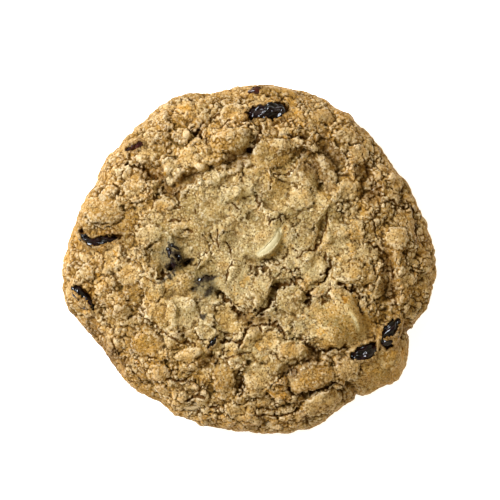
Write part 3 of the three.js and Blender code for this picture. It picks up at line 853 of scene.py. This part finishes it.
# %% The recipe for the skin
def skin_recipe(sizes):
    inlet = recipe("crumb skin", sizes)
    place, normal, plan = fields(inlet)
    above_foot = part_of(place, "Z").step(inlet["Foot"] * 0.1, inlet["Foot"])
    top = part_of(normal, "Z").step(0.15, 0.8)
    lump = Lumps(place)

    # Places in plan that stray, so that what is laid out in plan gets ragged edges
    torn = in_plan(place.vector("ADD", lump.pull.scaled(0.65)))
    uneven = strayed(torn, 2.2 * MM, 2.0 * MM, 2.0, by=plan)
    nibbled = in_plan(strayed(plan, 1.0 * MM, 2.4 * MM))
    wandering = in_plan(strayed(nibbled, 3.5 * MM, 4 * MM, 2.0, by=plan))
    frayed = plan.vector("ADD", lump.pull.scaled(0.25))
    frayed = in_plan(strayed(frayed, 1.6 * MM, 0.9 * MM, by=plan))

    # Lumps given one by one, which calm the heap under them
    height, lump_tone = lump_below(inlet["Lumps"], uneven)
    height = height * (0.55 + 0.45 * lump.outer)
    on_lump = height.step(0.0, 0.3 * MM)
    rough = distance_to(inlet["Smooth Patches"], plan, "FACES").step(0.0, 2 * MM)
    loose = (1 - on_lump * 0.65) * (0.15 + 0.85 * rough)

    # Cracks, valleys, windows and streaks
    crack = crack_reach(inlet["Cracks"], frayed, inlet["Crack Width"])
    fine_crack = crack_reach(inlet["Fine Cracks"], frayed, inlet["Crack Width"] * 0.7)
    any_crack = crack.sum("MINIMUM", crack, fine_crack)
    open_crack = any_crack.step(0.12 * MM, -0.12 * MM) * (0.6 + 0.4 * crack.step(0.5 * MM, 0.2 * MM))
    valley = distance_to(inlet["Valleys"], wandering, "EDGES")
    valley = valley.step(inlet["Valley Width"], inlet["Valley Width"] * 0.3)
    to_raisin = distance_to(inlet["Raisins"], place, "FACES")
    to_window = distance_to(inlet["Windows"], nibbled, "FACES")
    to_clean_edge = distance_to(inlet["Clean Edges"], plan, "FACES")
    open_window = to_window.step(0.25 * MM, 0.0)
    clean_edge = to_clean_edge.step(0.6 * MM, 0.0)
    pale_streak = distance_to(inlet["Pale Streaks"], plan, "FACES").step(1.0 * MM, 0.0)
    dark_streak = distance_to(inlet["Dark Streaks"], nibbled, "FACES").step(0.5 * MM, 0.1 * MM)

    # Notes on each point, which the finish reads
    notes = {
        "veil": to_raisin.step(inlet["Film"] * 3, inlet["Film"]),
        "smear": to_raisin.step(inlet["Film"] * 12, inlet["Film"]),
        "crack": any_crack,
        "floor": valley,
        "window": open_window,
        # dough darkened round each window: a stain from the fruit, and painted shade at the pocket's edge
        "stain": to_window.step(1.6 * MM, 0.1 * MM),
        "cream": to_clean_edge.step(1.8 * MM, 0.2 * MM) + pale_streak * 0.85,
        # raisin dark through the dough, and painted shadow
        "smudge": dark_streak,
        "lump": on_lump,
        "side": (1 - top) * lump.outer,
        "lump_tone": lump_tone,
        "rough": rough * (1 - on_lump * 0.5),
    }
    skin = stored(inlet["Geometry"], "start", place, "FLOAT_VECTOR")
    for name, value in notes.items():
        skin = stored(skin, name, value)

    # Lumps rise along the normal, and what is open falls straight down
    off_fruit = distance_to(inlet["Fruit"], place, "FACES").step(inlet["Film"], inlet["Film"] * 3)
    off_window = to_window.step(0.2 * MM, 1.6 * MM)
    off_chip = to_clean_edge.step(0.6 * MM, 2.5 * MM)
    lip = to_window.step(1.8 * MM, 0.4 * MM) * (1 - open_window)
    grain = (noise(place, inlet["Grain"], seed=4.0) - 0.5) * inlet["Grain Height"] * (1 + 1.5 * valley)
    edge = (noise(place, inlet["Edge"], seed=11.0) - 0.5) * inlet["Edge Height"] * (1 - top)
    rise = heap_height(inlet, place, lump) * loose + grain + (height - 0.3 * MM) * off_window
    rise = rise * (0.3 + 0.7 * top) + edge
    rise = rise * (0.5 + 0.5 * off_fruit) * off_chip + lip * inlet["Lip"]
    fall = (open_crack * inlet["Crack Depth"] + valley * inlet["Valley Depth"]) * off_fruit
    fall = fall + open_window * inlet["Window Depth"] + clean_edge * inlet["Chip Depth"]
    drop = xyz(inlet, Z=fall * above_foot * -1)
    skin = moved(skin, normal.scaled(rise * above_foot).vector("ADD", drop))
    # how far each point lies under its neighbours, which the finish turns into painted shade and highlight
    skin = stored(skin, "hollow", depth_below(place, normal, 4))
    skin = stored(skin, "valley", depth_below(place, normal, 40))
    end_recipe(skin, inlet["Material"])
    return inlet.tree


print("skin recipe ready")

# %% [markdown]
# ## The colours of baked dough
# Fresh oat dough is straw coloured, and the oven turns lumps gold and the rim and the underside brown.
# Crests are painted paler as a highlight, and hollows, cracks and gaps are painted dark as shade. The tones
# below are named for what they are on the cookie. Each is written as it looks on screen, and `paint` turns
# it into the linear values that Blender mixes. A finish lays coats of these tones over each other, and a
# field says how much of each coat covers.


# %% Helpers for materials
def paint(code):
    """A colour code as seen on screen, as a linear colour."""
    shares = [int(code[i:i + 2], 16) / 255 for i in (0, 2, 4)]
    return (*[s / 12.92 if s <= 0.04045 else ((s + 0.055) / 1.055) ** 2.4 for s in shares], 1)


def finish(name, constants):
    """A material with one Principled shader, and a bare wire to write its nodes on."""
    material = bpy.data.materials.new(name)
    material.use_nodes = True
    shader = material.node_tree.nodes["Principled BSDF"]
    for socket, value in constants.items():
        shader.inputs[socket].default_value = value
    return material, Wire(material.node_tree), shader


def feed(shader, **wires):
    for name, wire in wires.items():
        wire.tree.links.new(wire.socket, shader.inputs[name.replace("_", " ")])


def noted(wire, name):
    """A number that a recipe stored on the piece's points."""
    return wire.node("ShaderNodeAttribute", {"attribute_name": name}, out="Fac")


def bumps(height, depth):
    return height.node("ShaderNodeBump", None, {"Height": height, "Distance": depth, "Strength": 1.0})


def painted(colour, coats):
    """A colour under coats of paint. Each coat is how much it covers, from 0 to 1, and its tone."""
    for cover, tone in coats:
        colour = cover.mix(colour, tone)
    return colour


STRAW = paint("c4ad7c")
BISCUIT = paint("a07c3e")
GOLD = paint("c1913f")
TOAST = paint("9b6512")
ASH = paint("8a7746")
OATMEAL = paint("ab9970")
BROWNED = paint("7c5427")
ORANGE = paint("b4884a")
# painted shade: the dark tone laid into hollows, cracks, gaps, pits and pockets
CREVICE_SHADE = paint("543103")
OLIVE = paint("66542a")
# pale flour specks, and the tone of the painted highlight on crests
FLOUR_AND_HIGHLIGHT = paint("f1e4c8")
VEIL = paint("6c6146")
RAISIN_DARK_AND_SHADOW = paint("241a13")
CREAM = paint("dacda6")
HONEY = paint("d9be85")
IVORY = paint("cdbf98")
print("palette ready")


# %% The finish of the dough
def toasted(place, tone):
    """The colour of baked dough at a place, its grains, and how mottled it is there."""
    mottle = noise(place, 2.4 * MM, 3.0)
    grains = noise(place, 0.45 * MM, 3.0, seed=3.0)
    patch = noise(place, 6 * MM, seed=7.0)
    reach = from_axis(place) + noise(place, 9 * MM) * 8 * MM
    rim = reach.step(0.4 * RADIUS, 0.9 * RADIUS)
    shade = tone * 0.9 + mottle * 0.7 + grains * 0.2 - 0.425
    stops = [(0.1, ASH), (0.36, BISCUIT), (0.56, STRAW), (0.78, GOLD), (1.0, TOAST)]
    colour = painted(shade.node("ShaderNodeValToRGB", {"stops": stops}, {"Fac": shade}), [
        (patch.step(0.5, 0.66) * 0.45, GOLD),
        (patch.step(0.47, 0.33) * 0.5, ASH),
        (rim * 0.36, TOAST),
        (reach.step(0.8 * RADIUS, 0.35 * RADIUS) * 0.25, OATMEAL),
        (grains.step(0.54, 0.7) * (0.31 - 0.1 * rim), FLOUR_AND_HIGHLIGHT),
        # painted shade: dark grains stand for the shade in tiny pits
        (grains.step(0.47, 0.34) * 0.6, CREVICE_SHADE),
    ])
    return colour, grains, mottle


def largest(first, *others):
    for other in others:
        first = first.sum("MAXIMUM", first, other)
    return first


def crevices(start, lump, rough):
    """How much painted shade darkens the gaps between lumps, the seams between nodules and the pits, from 0
    to 1.
    """
    cluster_gap = lump.edge.step(0.24 * MM, 0.08 * MM) * lump.cluster_open * rough
    nugget_gap = lump.edge.step(0.16 * MM, 0.04 * MM) * lump.nugget_open * rough
    pebble_gap = lump.pebble_edge.step(0.15 * MM, 0.04 * MM) * lump.pebble_open * rough
    seams = lump.edge.step(0.14 * MM, 0.02 * MM) * noise(start, 1.9 * MM, seed=9.0).step(0.42, 0.58)
    pits = cells(start, 0.8 * MM, "F1").step(0.28, 0.1) * noise(start, 1.7 * MM, seed=5.0).step(0.4, 0.52)
    small_pit_shade = cells(start, 0.55 * MM, "F1").step(0.34, 0.14)
    small_pit_shade = small_pit_shade * noise(start, 1.2 * MM, seed=13.0).step(0.46, 0.56)
    gaps = largest(cluster_gap, nugget_gap * 0.9, pebble_gap * 0.8)
    return largest(gaps, pits, small_pit_shade * 0.8, seams * 0.45 * rough)


def baked_dough():
    material, wire, shader = finish("baked dough", {"Specular IOR Level": 0.08, "Coat Roughness": 0.3})
    high = part_of(wire.node("ShaderNodeTexCoord", out="Object"), "Z")
    start = wire.node("ShaderNodeAttribute", {"attribute_name": "start"}, out="Vector")
    lump = Lumps(start)
    tone = lump.cluster * 0.35 + lump.nugget * 0.35 + lump.nodule * 0.3
    tone = tone + (noted(wire, "lump_tone") - tone) * noted(wire, "lump") * 0.7
    colour, grains, mottle = toasted(start, tone)

    side = noted(wire, "side")
    rough = (0.25 + 0.75 * noted(wire, "rough")) * (1 - 0.4 * side)
    dark = crevices(start, lump, rough)
    hollow = noted(wire, "hollow")
    stain = noted(wire, "stain")
    veil = noted(wire, "veil")
    cream = noted(wire, "cream")
    orange = noted(wire, "lump") * noted(wire, "lump_tone").step(0.55, 0.9)
    # crest: where the skin stands above its neighbours, which gets a painted highlight below
    crest = hollow.step(-0.02 * MM, -0.2 * MM) * (1 - stain)
    smoky = noise(start, 1.0 * MM, 3.0, seed=10.0)
    colour = painted(colour, [
        (orange * mottle.step(0.3, 0.6) * 0.5, ORANGE),
        (side * (0.2 + 0.4 * mottle), ORANGE),
        # painted highlight: crests made paler
        (crest * 0.24, FLOUR_AND_HIGHLIGHT),
        # painted shade in the gaps between lumps, the seams and the pits
        (dark * 0.9, CREVICE_SHADE),
        # painted shade in the hollows of the skin
        (hollow.step(0.03 * MM, 0.22 * MM) * 0.7, CREVICE_SHADE),
        # painted shade: broad hollows and the floors of the valleys darkened
        (noted(wire, "valley").step(0.15 * MM, 1.1 * MM) * 0.55, OLIVE),
        (noted(wire, "floor") * mottle.step(0.25, 0.6) * 0.6, CREVICE_SHADE),
        # painted shade inside the cracks
        (noted(wire, "crack").step(0.16 * MM, 0.02 * MM) * 0.82, CREVICE_SHADE),
        # a stain from the fruit, with painted shade, round each window
        (stain * mottle.step(0.35, 0.6) * 0.5, CREVICE_SHADE),
        # a darker olive tone within a few millimetres of the veiled and hollow raisins
        (noted(wire, "smear") * mottle.step(0.3, 0.55) * 0.5, OLIVE),
        (veil * grains.step(0.3, 0.5) * 0.65, VEIL),
        (veil * smoky.step(0.54, 0.64) * 0.8, RAISIN_DARK_AND_SHADOW),
        # raisin dark through the dough, and painted shadow beside the hollow raisin
        (noted(wire, "smudge") * smoky.step(0.3, 0.46) * 0.92, RAISIN_DARK_AND_SHADOW),
        (cream * 0.6, HONEY),
        (cream.step(0.6, 1.0) * 0.85, CREAM),
        # painted shade: the dough of the pocket round each window
        (noted(wire, "window"), CREVICE_SHADE),
        (high.step(1.6 * MM, 0.2 * MM) * (0.55 + 0.45 * mottle.step(0.3, 0.65)), BROWNED),
    ])

    gloss = grains.step(0.45, 0.6) * (1 - dark) * (0.1 + 0.3 * crest)
    sand = noise(start, 0.5 * MM, 4.0) * 1.4 + cells(start, 0.7 * MM, "F1") * -0.3
    relief = sand * (0.65 + 0.4 * lump.outer) - dark * 0.8
    feed(shader, Base_Color=colour, Roughness=0.45 + mottle * 0.3, Coat_Weight=gloss)
    feed(shader, Normal=bumps(relief, 0.3 * MM))
    return material


dough_finish = baked_dough()
print("finish", dough_finish.name)

# %% Give the crust its skin
SKIN_SIZES = {
    "Cluster Step": 0.65 * MM, "Cluster Gap": 0.7 * MM,
    "Nugget Step": 0.54 * MM, "Nugget Gap": 0.5 * MM,
    "Pebble Height": 0.42 * MM, "Pebble Gap": 0.4 * MM,
    "Nodule Height": 0.07 * MM,
    "Pillow": 3.6 * MM, "Pillow Height": 0.25 * MM,
    "Grain": 0.7 * MM, "Grain Height": 0.18 * MM,
    "Edge": 3.2 * MM, "Edge Height": 2.2 * MM,
    "Lumps": lump_guide, "Smooth Patches": smooth_patches,
    "Cracks": crack_lines, "Fine Cracks": fine_crack_lines,
    "Crack Width": 0.25 * MM, "Crack Depth": 1.1 * MM,
    "Valleys": valley_lines, "Valley Width": 2.2 * MM, "Valley Depth": 0.85 * MM,
    "Windows": windows, "Window Depth": 1.7 * MM, "Lip": 0.15 * MM,
    "Clean Edges": clean_edges, "Chip Depth": 0.36 * MM,
    "Pale Streaks": pale_streaks, "Dark Streaks": dark_streaks,
    "Fruit": fruit_guide, "Raisins": raisin_guide, "Film": FILM,
    "Foot": 2.2 * MM, "Material": dough_finish,
}
apply_recipe(crust, skin_recipe(SKIN_SIZES), SKIN_SIZES)
hand_over(crust, "dough")

# %% [markdown]
# ## Oat flakes and loose crumbs
# A few flakes show bare: ovals with a groove along the middle. They lie where the photograph has them, so a
# recipe drops each from its place in plan onto the crust. Crumbs of sugar and dough are smaller than a
# millimetre and lie everywhere, so they are scattered.


# %% Shape one oat flake
FLAKE_SIDES = 12
FLAKE_FLAT = 0.275  # radius of the flat of a face, on a flake one long
FLAT_HEIGHT = 0.45  # of the edge of that flat, on a flake one thick
GROOVE_DEPTH = 0.35
GROOVE_WIDTH = 0.16
FLAKE_THICKNESS = 0.35  # share of its width


def oat_flake():
    """A flat oval one long and one wide, with a groove along X on its upper face."""
    mesh = bmesh.new()
    turns = [math.tau * i / FLAKE_SIDES for i in range(FLAKE_SIDES)]
    faces = []
    for side, depth in ((1, GROOVE_DEPTH), (-1, 0)):
        middle = mesh.verts.new((0, 0, side * 0.5 - depth))
        inner = []
        for turn in turns:
            x, y = FLAKE_FLAT * math.cos(turn), FLAKE_FLAT * math.sin(turn)
            groove = depth * math.exp(-(y / GROOVE_WIDTH) ** 2)
            inner.append(mesh.verts.new((x, y, side * FLAT_HEIGHT - groove)))
        faces.append((middle, inner))
    rim = [mesh.verts.new((0.5 * math.cos(turn), 0.5 * math.sin(turn), 0)) for turn in turns]
    for middle, inner in faces:
        for i in range(FLAKE_SIDES):
            j = (i + 1) % FLAKE_SIDES
            mesh.faces.new((middle, inner[i], inner[j]))
            mesh.faces.new((inner[i], rim[i], rim[j], inner[j]))
    bmesh.ops.recalc_face_normals(mesh, faces=mesh.faces)
    return object_of("one_flake", mesh)


one_flake = oat_flake()
print("flake", triangles(one_flake), "triangles")


# %% The recipe for placed flakes
FLAKES = [  # x and y in millimetres, turn in degrees, length and width in millimetres
    (6.2, -41.4, -18, 4.8, 1.8), (-19.4, 19.7, 84, 3.7, 2.2), (-13.9, -36.4, 10, 5.4, 2.2),
    (-35.5, 14.6, -40, 4.4, 2.0), (12.6, -38.4, 20, 4.0, 1.8),
]
FLAKE_TONE = 0.6


def flake_spots():
    """One point for each flake, with its turn and its size."""
    mesh = bpy.data.meshes.new("oat_flakes")
    mesh.from_pydata([(x * MM, y * MM, 0) for x, y, *_ in FLAKES], [], [])
    turn = mesh.attributes.new("turn", "FLOAT", "POINT")
    spread = mesh.attributes.new("spread", "FLOAT_VECTOR", "POINT")
    for i, (_, _, angle, length, width) in enumerate(FLAKES):
        turn.data[i].value = math.radians(angle)
        spread.data[i].vector = (length * MM, width * MM, width * FLAKE_THICKNESS * MM)
    spots = bpy.data.objects.new("oat_flakes", mesh)
    bpy.context.scene.collection.objects.link(spots)
    return spots


def flake_recipe(sizes):
    inlet = recipe("placed flakes", sizes)
    place, _, plan = fields(inlet)
    landed = inlet.node("GeometryNodeSetPosition", None, {
        "Geometry": inlet["Geometry"], "Position": ray_down(inlet["Crust"], plan)["Hit Position"],
        "Offset": xyz(inlet, Z=inlet["Sink"] * -1),
    })
    flakes = inlet.node("GeometryNodeInstanceOnPoints", None, {
        "Points": landed, "Instance": shape_of(inlet["Shape"]),
        "Scale": read_back(inlet, "spread", "FLOAT_VECTOR"),
        "Rotation": xyz(inlet, Z=read_back(inlet, "turn", "FLOAT")),
    })
    flakes = inlet.node("GeometryNodeRealizeInstances", None, {"Geometry": flakes})
    flakes = moved(flakes, wobble(place, 1.5 * MM, 3.0).scaled(inlet["Ruggedness"]))
    end_recipe(stored(flakes, "tone", FLAKE_TONE), inlet["Material"])
    return inlet.tree


print(len(FLAKES), "flakes")


# %% The recipe for scattered crumbs
CRUMB_DENSITY = 1e7  # to a square metre, more than their spacing leaves room for


def crumb_recipe(sizes):
    inlet = recipe("crumbs", sizes)
    place, normal, plan = fields(inlet)
    above_foot = part_of(place, "Z").step(inlet["Foot"] * 0.3, inlet["Foot"])
    off_cracks = distance_to(inlet["Cracks"], plan, "EDGES").step(0.0, inlet["Crack Room"])
    off_fruit = distance_to(inlet["Windows"], plan, "FACES").step(0.0, inlet["Window Room"])
    off_patches = distance_to(inlet["Smooth Patches"], plan, "FACES").step(0.0, inlet["Patch Room"])
    on_top = part_of(normal, "Z").step(-0.2, 0.5)
    points = inlet.node("GeometryNodeDistributePointsOnFaces", {"distribute_method": "POISSON"}, {
        "Mesh": inlet["Geometry"], "Distance Min": inlet["Spacing"], "Density Max": CRUMB_DENSITY,
        "Density Factor": off_cracks * off_fruit * off_patches * above_foot * on_top, "Seed": inlet["Seed"],
    })
    draw = chance(inlet, 0.0, 1.0, 1)
    length = inlet["Smallest"] + (inlet["Largest"] - inlet["Smallest"]) * draw * draw
    width = length * chance(inlet, 0.6, 1.0, 2)
    height = length * chance(inlet, 0.6, 1.0, 3)
    turn = {axis: chance(inlet, 0.0, math.tau, salt) for axis, salt in (("X", 4), ("Y", 5), ("Z", 6))}
    bits = inlet.node("GeometryNodeInstanceOnPoints", None, {
        "Points": moved(points, points["Normal"].scaled(length * inlet["Sink"] * -1)),
        "Instance": inlet.node("GeometryNodeMeshIcoSphere", None, {"Radius": 0.5, "Subdivisions": 1}),
        "Rotation": xyz(inlet, **turn), "Scale": xyz(inlet, X=length, Y=width, Z=height),
    })
    bits = stored(bits, "tone", chance(inlet, 0.0, 1.0, 7), domain="INSTANCE")
    bits = inlet.node("GeometryNodeRealizeInstances", None, {"Geometry": bits})
    bits = moved(bits, wobble(place, 0.8 * MM, 3.0).scaled(inlet["Ruggedness"]))
    end_recipe(bits, inlet["Material"])
    return inlet.tree


print("crumb recipe ready")


# %% The finish of flakes and crumbs
def bit_finish(name, paleness):
    """Baked dough in a tone of its own for each bit."""
    material, wire, shader = finish(name, {"Specular IOR Level": 0.2})
    place = wire.node("ShaderNodeTexCoord", out="Object")
    colour, _, mottle = toasted(place, noted(wire, "tone") * (1 - paleness) + 0.5 * paleness)
    colour = wire.node("ShaderNodeMix", {"data_type": "RGBA"}, {
        "Factor_Float": 0.5 * paleness, "A_Color": colour, "B_Color": FLOUR_AND_HIGHLIGHT,
    }, "Result_Color")
    relief = noise(place, 0.35 * MM, 3.0) * 1.4 + cells(place, 0.6 * MM, "F1") * -0.4
    feed(shader, Base_Color=colour, Roughness=0.45 + mottle * 0.3, Normal=bumps(relief, 0.3 * MM))
    return material


crumb_finish = bit_finish("crumb", 0.0)
oat_finish = bit_finish("oat flake", 0.35)
print("finishes ready")

# %% Lay the flakes and scatter the crumbs
FLAKE_SIZES = {
    "Crust": crust, "Shape": one_flake, "Sink": 0.2 * MM, "Ruggedness": 0.7 * MM, "Material": oat_finish,
}
CRUMB_SIZES = {
    "Spacing": 2.2 * MM, "Smallest": 0.3 * MM, "Largest": 0.9 * MM, "Sink": 0.2, "Ruggedness": 0.5 * MM,
    "Foot": 4 * MM, "Cracks": crack_lines, "Crack Room": 0.5 * MM, "Windows": windows,
    "Window Room": 0.3 * MM, "Smooth Patches": smooth_patches, "Patch Room": 1.0 * MM,
    "Seed": 33, "Material": crumb_finish,
}

flakes = apply_recipe(flake_spots(), flake_recipe(FLAKE_SIZES), FLAKE_SIZES)
crumbs = crust.copy()
crumbs.data = crust.data.copy()
crumbs.name = "crumbs"
for key in list(crumbs.keys()):
    del crumbs[key]
crumbs.parent = None
bpy.context.scene.collection.objects.link(crumbs)
apply_recipe(crumbs, crumb_recipe(CRUMB_SIZES), CRUMB_SIZES)
for piece in (flakes, crumbs):
    hand_over(piece)
bpy.data.objects.remove(one_flake)

# %% [markdown]
# ## Raisins
# A raisin is a grape that lost its water, so its skin is too large and lies in deep folds. Each solid is
# rounded by subdivision and then folded by a recipe: noise with its sign dropped has sharp valleys, as the
# folds of a shrunken skin have. Where a window opens over the raisin, it bulges a little towards it.


# %% The recipe for a raisin's skin
STRETCH = 0.45  # share of a raisin's length by which folds are drawn out


def raisin_recipe(sizes):
    inlet = recipe("raisin skin", sizes)
    place, normal, plan = fields(inlet)
    drawn = place.vector("SUBTRACT", inlet["Along"].scaled(dot(place, inlet["Along"]) * STRETCH))
    in_window = distance_to(inlet["Windows"], plan, "FACES").step(1.0 * MM, 0.0)
    dents = (noise(place, inlet["Dent"], 1.0, seed=inlet["Seed"]) - 0.5) * inlet["Dent Depth"]
    bent = strayed(drawn, inlet["Fold"], inlet["Fold"] * 0.5, 2.0, by=place)
    folds = pillows(bent, inlet["Fold"], inlet["Seed"] + 5)
    rise = inlet["Swell"] + inlet["Bulge"] * in_window + dents + folds * inlet["Fold Depth"]
    skin = stored(inlet["Geometry"], "drawn", drawn, "FLOAT_VECTOR")
    end_recipe(moved(skin, normal.scaled(rise)), inlet["Material"])
    return inlet.tree


print("raisin recipe ready")


# %% The finish of the raisins
PRUNE = paint("060203")
WINE = paint("1c0b0f")
MULLED = paint("1c0b0b")
STEWED = paint("421b12")


def raisin_finish(name, dark, light):
    material, wire, shader = finish(name, {"Specular IOR Level": 0.34})
    place = wire.node("ShaderNodeTexCoord", out="Object")
    drawn = wire.node("ShaderNodeAttribute", {"attribute_name": "drawn"}, out="Vector")
    colour = (noise(place, 2.5 * MM).step(0.4, 0.65) * 0.9).mix(dark, light)
    rough = 0.06 + noise(place, 1.2 * MM) * 0.16
    fine = noise(drawn, 1.0 * MM, 0.0)
    feed(shader, Base_Color=colour, Roughness=rough, Normal=bumps(fine, 0.5 * MM))
    return material


dark_finish = raisin_finish("raisin", PRUNE, WINE)
stewed_finish = raisin_finish("stewed raisin", MULLED, STEWED)
print("finishes", dark_finish.name, "and", stewed_finish.name)

# %% Fold the raisins
RAISIN_SIZES = {
    "Swell": 0.0, "Bulge": 0.1 * MM, "Windows": windows, "Dent": 4 * MM, "Dent Depth": 0.8 * MM,
    "Fold": 1.9 * MM, "Fold Depth": 0.7 * MM, "Seed": 0.0, "Along": (1.0, 0.0, 0.0),
    "Material": dark_finish,
}
STEWED_SIZES = {**RAISIN_SIZES, "Bulge": 0.0, "Material": stewed_finish}
STEWED_RAISINS = {"raisin_rim", "raisin_top_rim"}  # thin and browned by the hot rim
ROUNDING = 3  # subdivision levels


def rounded_copy(node, name):
    piece = copy_of(node, name)
    subdivision = piece.modifiers.new("round", "SUBSURF")
    subdivision.levels = subdivision.render_levels = ROUNDING
    return plain(piece)


def longest_way(piece):
    """The direction in plan in which a piece is longest."""
    points = [vertex.co.xy for vertex in piece.data.vertices]
    middle = sum(points, Vector((0, 0))) / len(points)
    wide = sum((p.x - middle.x) ** 2 - (p.y - middle.y) ** 2 for p in points)
    slant = sum(2 * (p.x - middle.x) * (p.y - middle.y) for p in points)
    turn = math.atan2(slant, wide) / 2
    return math.cos(turn), math.sin(turn), 0.0


folded = raisin_recipe(RAISIN_SIZES)
for number, node in enumerate(RAISINS):
    piece = rounded_copy(node, node + "_skin")
    sizes = STEWED_SIZES if node in STEWED_RAISINS else RAISIN_SIZES
    apply_recipe(piece, folded, {**sizes, "Seed": float(number), "Along": longest_way(piece)})
    hand_over(piece, node)

# %% [markdown]
# ## Pale chips
# Two pale chips melted into the dough, which closed over them. One shows a clean cream-coloured edge in a
# window of its own. The other only shines through as a pale streak. A chip has no folds, so the raisins'
# recipe makes it with a fold depth of 0.


# %% The finish of the chips
def chip_finish(name, light, dark):
    material, wire, shader = finish(name, {"Specular IOR Level": 0.5, "Roughness": 0.45})
    place = wire.node("ShaderNodeTexCoord", out="Object")
    colour = (noise(place, 1.2 * MM, 3.0).step(0.5, 0.8) * 0.7).mix(light, dark)
    feed(shader, Base_Color=colour, Normal=bumps(noise(place, 0.6 * MM, 3.0), 0.12 * MM))
    return material


cream_finish = chip_finish("pale chip", IVORY, HONEY)
print("finish", cream_finish.name)

# %% Soften the chips
CHIP_SIZES = {
    **RAISIN_SIZES, "Swell": 0.1 * MM, "Bulge": 0.2 * MM, "Windows": clean_edges, "Dent": 3 * MM,
    "Dent Depth": 0.3 * MM, "Fold": 2 * MM, "Fold Depth": 0.0, "Seed": 3.0, "Material": cream_finish,
}
for node in CHIPS:
    piece = apply_recipe(rounded_copy(node, node + "_face"), folded, CHIP_SIZES)
    hand_over(piece, node)

# %% [markdown]
# ## Floor
# A plain pale floor, far wider than the picture. It glows a little, so that it stays white and the cookie's
# shadow on it stays soft.

# %% Lay the floor
FLOOR_HALF = 0.6
FLOOR_GLOW = 0.8
floor_mesh = bpy.data.meshes.new("floor")
corners = [(-1, -1), (1, -1), (1, 1), (-1, 1)]
floor_mesh.from_pydata([(x * FLOOR_HALF, y * FLOOR_HALF, 0) for x, y in corners], [], [(0, 1, 2, 3)])
floor = bpy.data.objects.new("floor", floor_mesh)
bpy.context.scene.collection.objects.link(floor)
floor_finish, _, _ = finish("pale floor", {
    "Base Color": (0.93, 0.93, 0.93, 1), "Roughness": 0.9,
    "Emission Color": (1, 1, 1, 1), "Emission Strength": FLOOR_GLOW,
})
floor_mesh.materials.append(floor_finish)
floor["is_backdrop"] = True
print("floor", 2 * FLOOR_HALF, "m wide")

# %% [markdown]
# ## Last measures
# The guides have done their work and go. The dressed cookie's box is kept beside the frame's own, and its
# size is printed.

# %% Remove the guides and measure
guides = [crack_lines, fine_crack_lines, valley_lines, windows, clean_edges, pale_streaks, dark_streaks]
for guide in (*guides, smooth_patches, lump_guide, fruit_guide, raisin_guide):
    bpy.data.objects.remove(guide)
low_corner, high_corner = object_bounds()
sizes = {"cad": [list(CAD_LOW), list(CAD_HIGH)], "visual": [list(low_corner), list(high_corner)]}
print("dressed", in_mm(high_corner - low_corner), "mm")
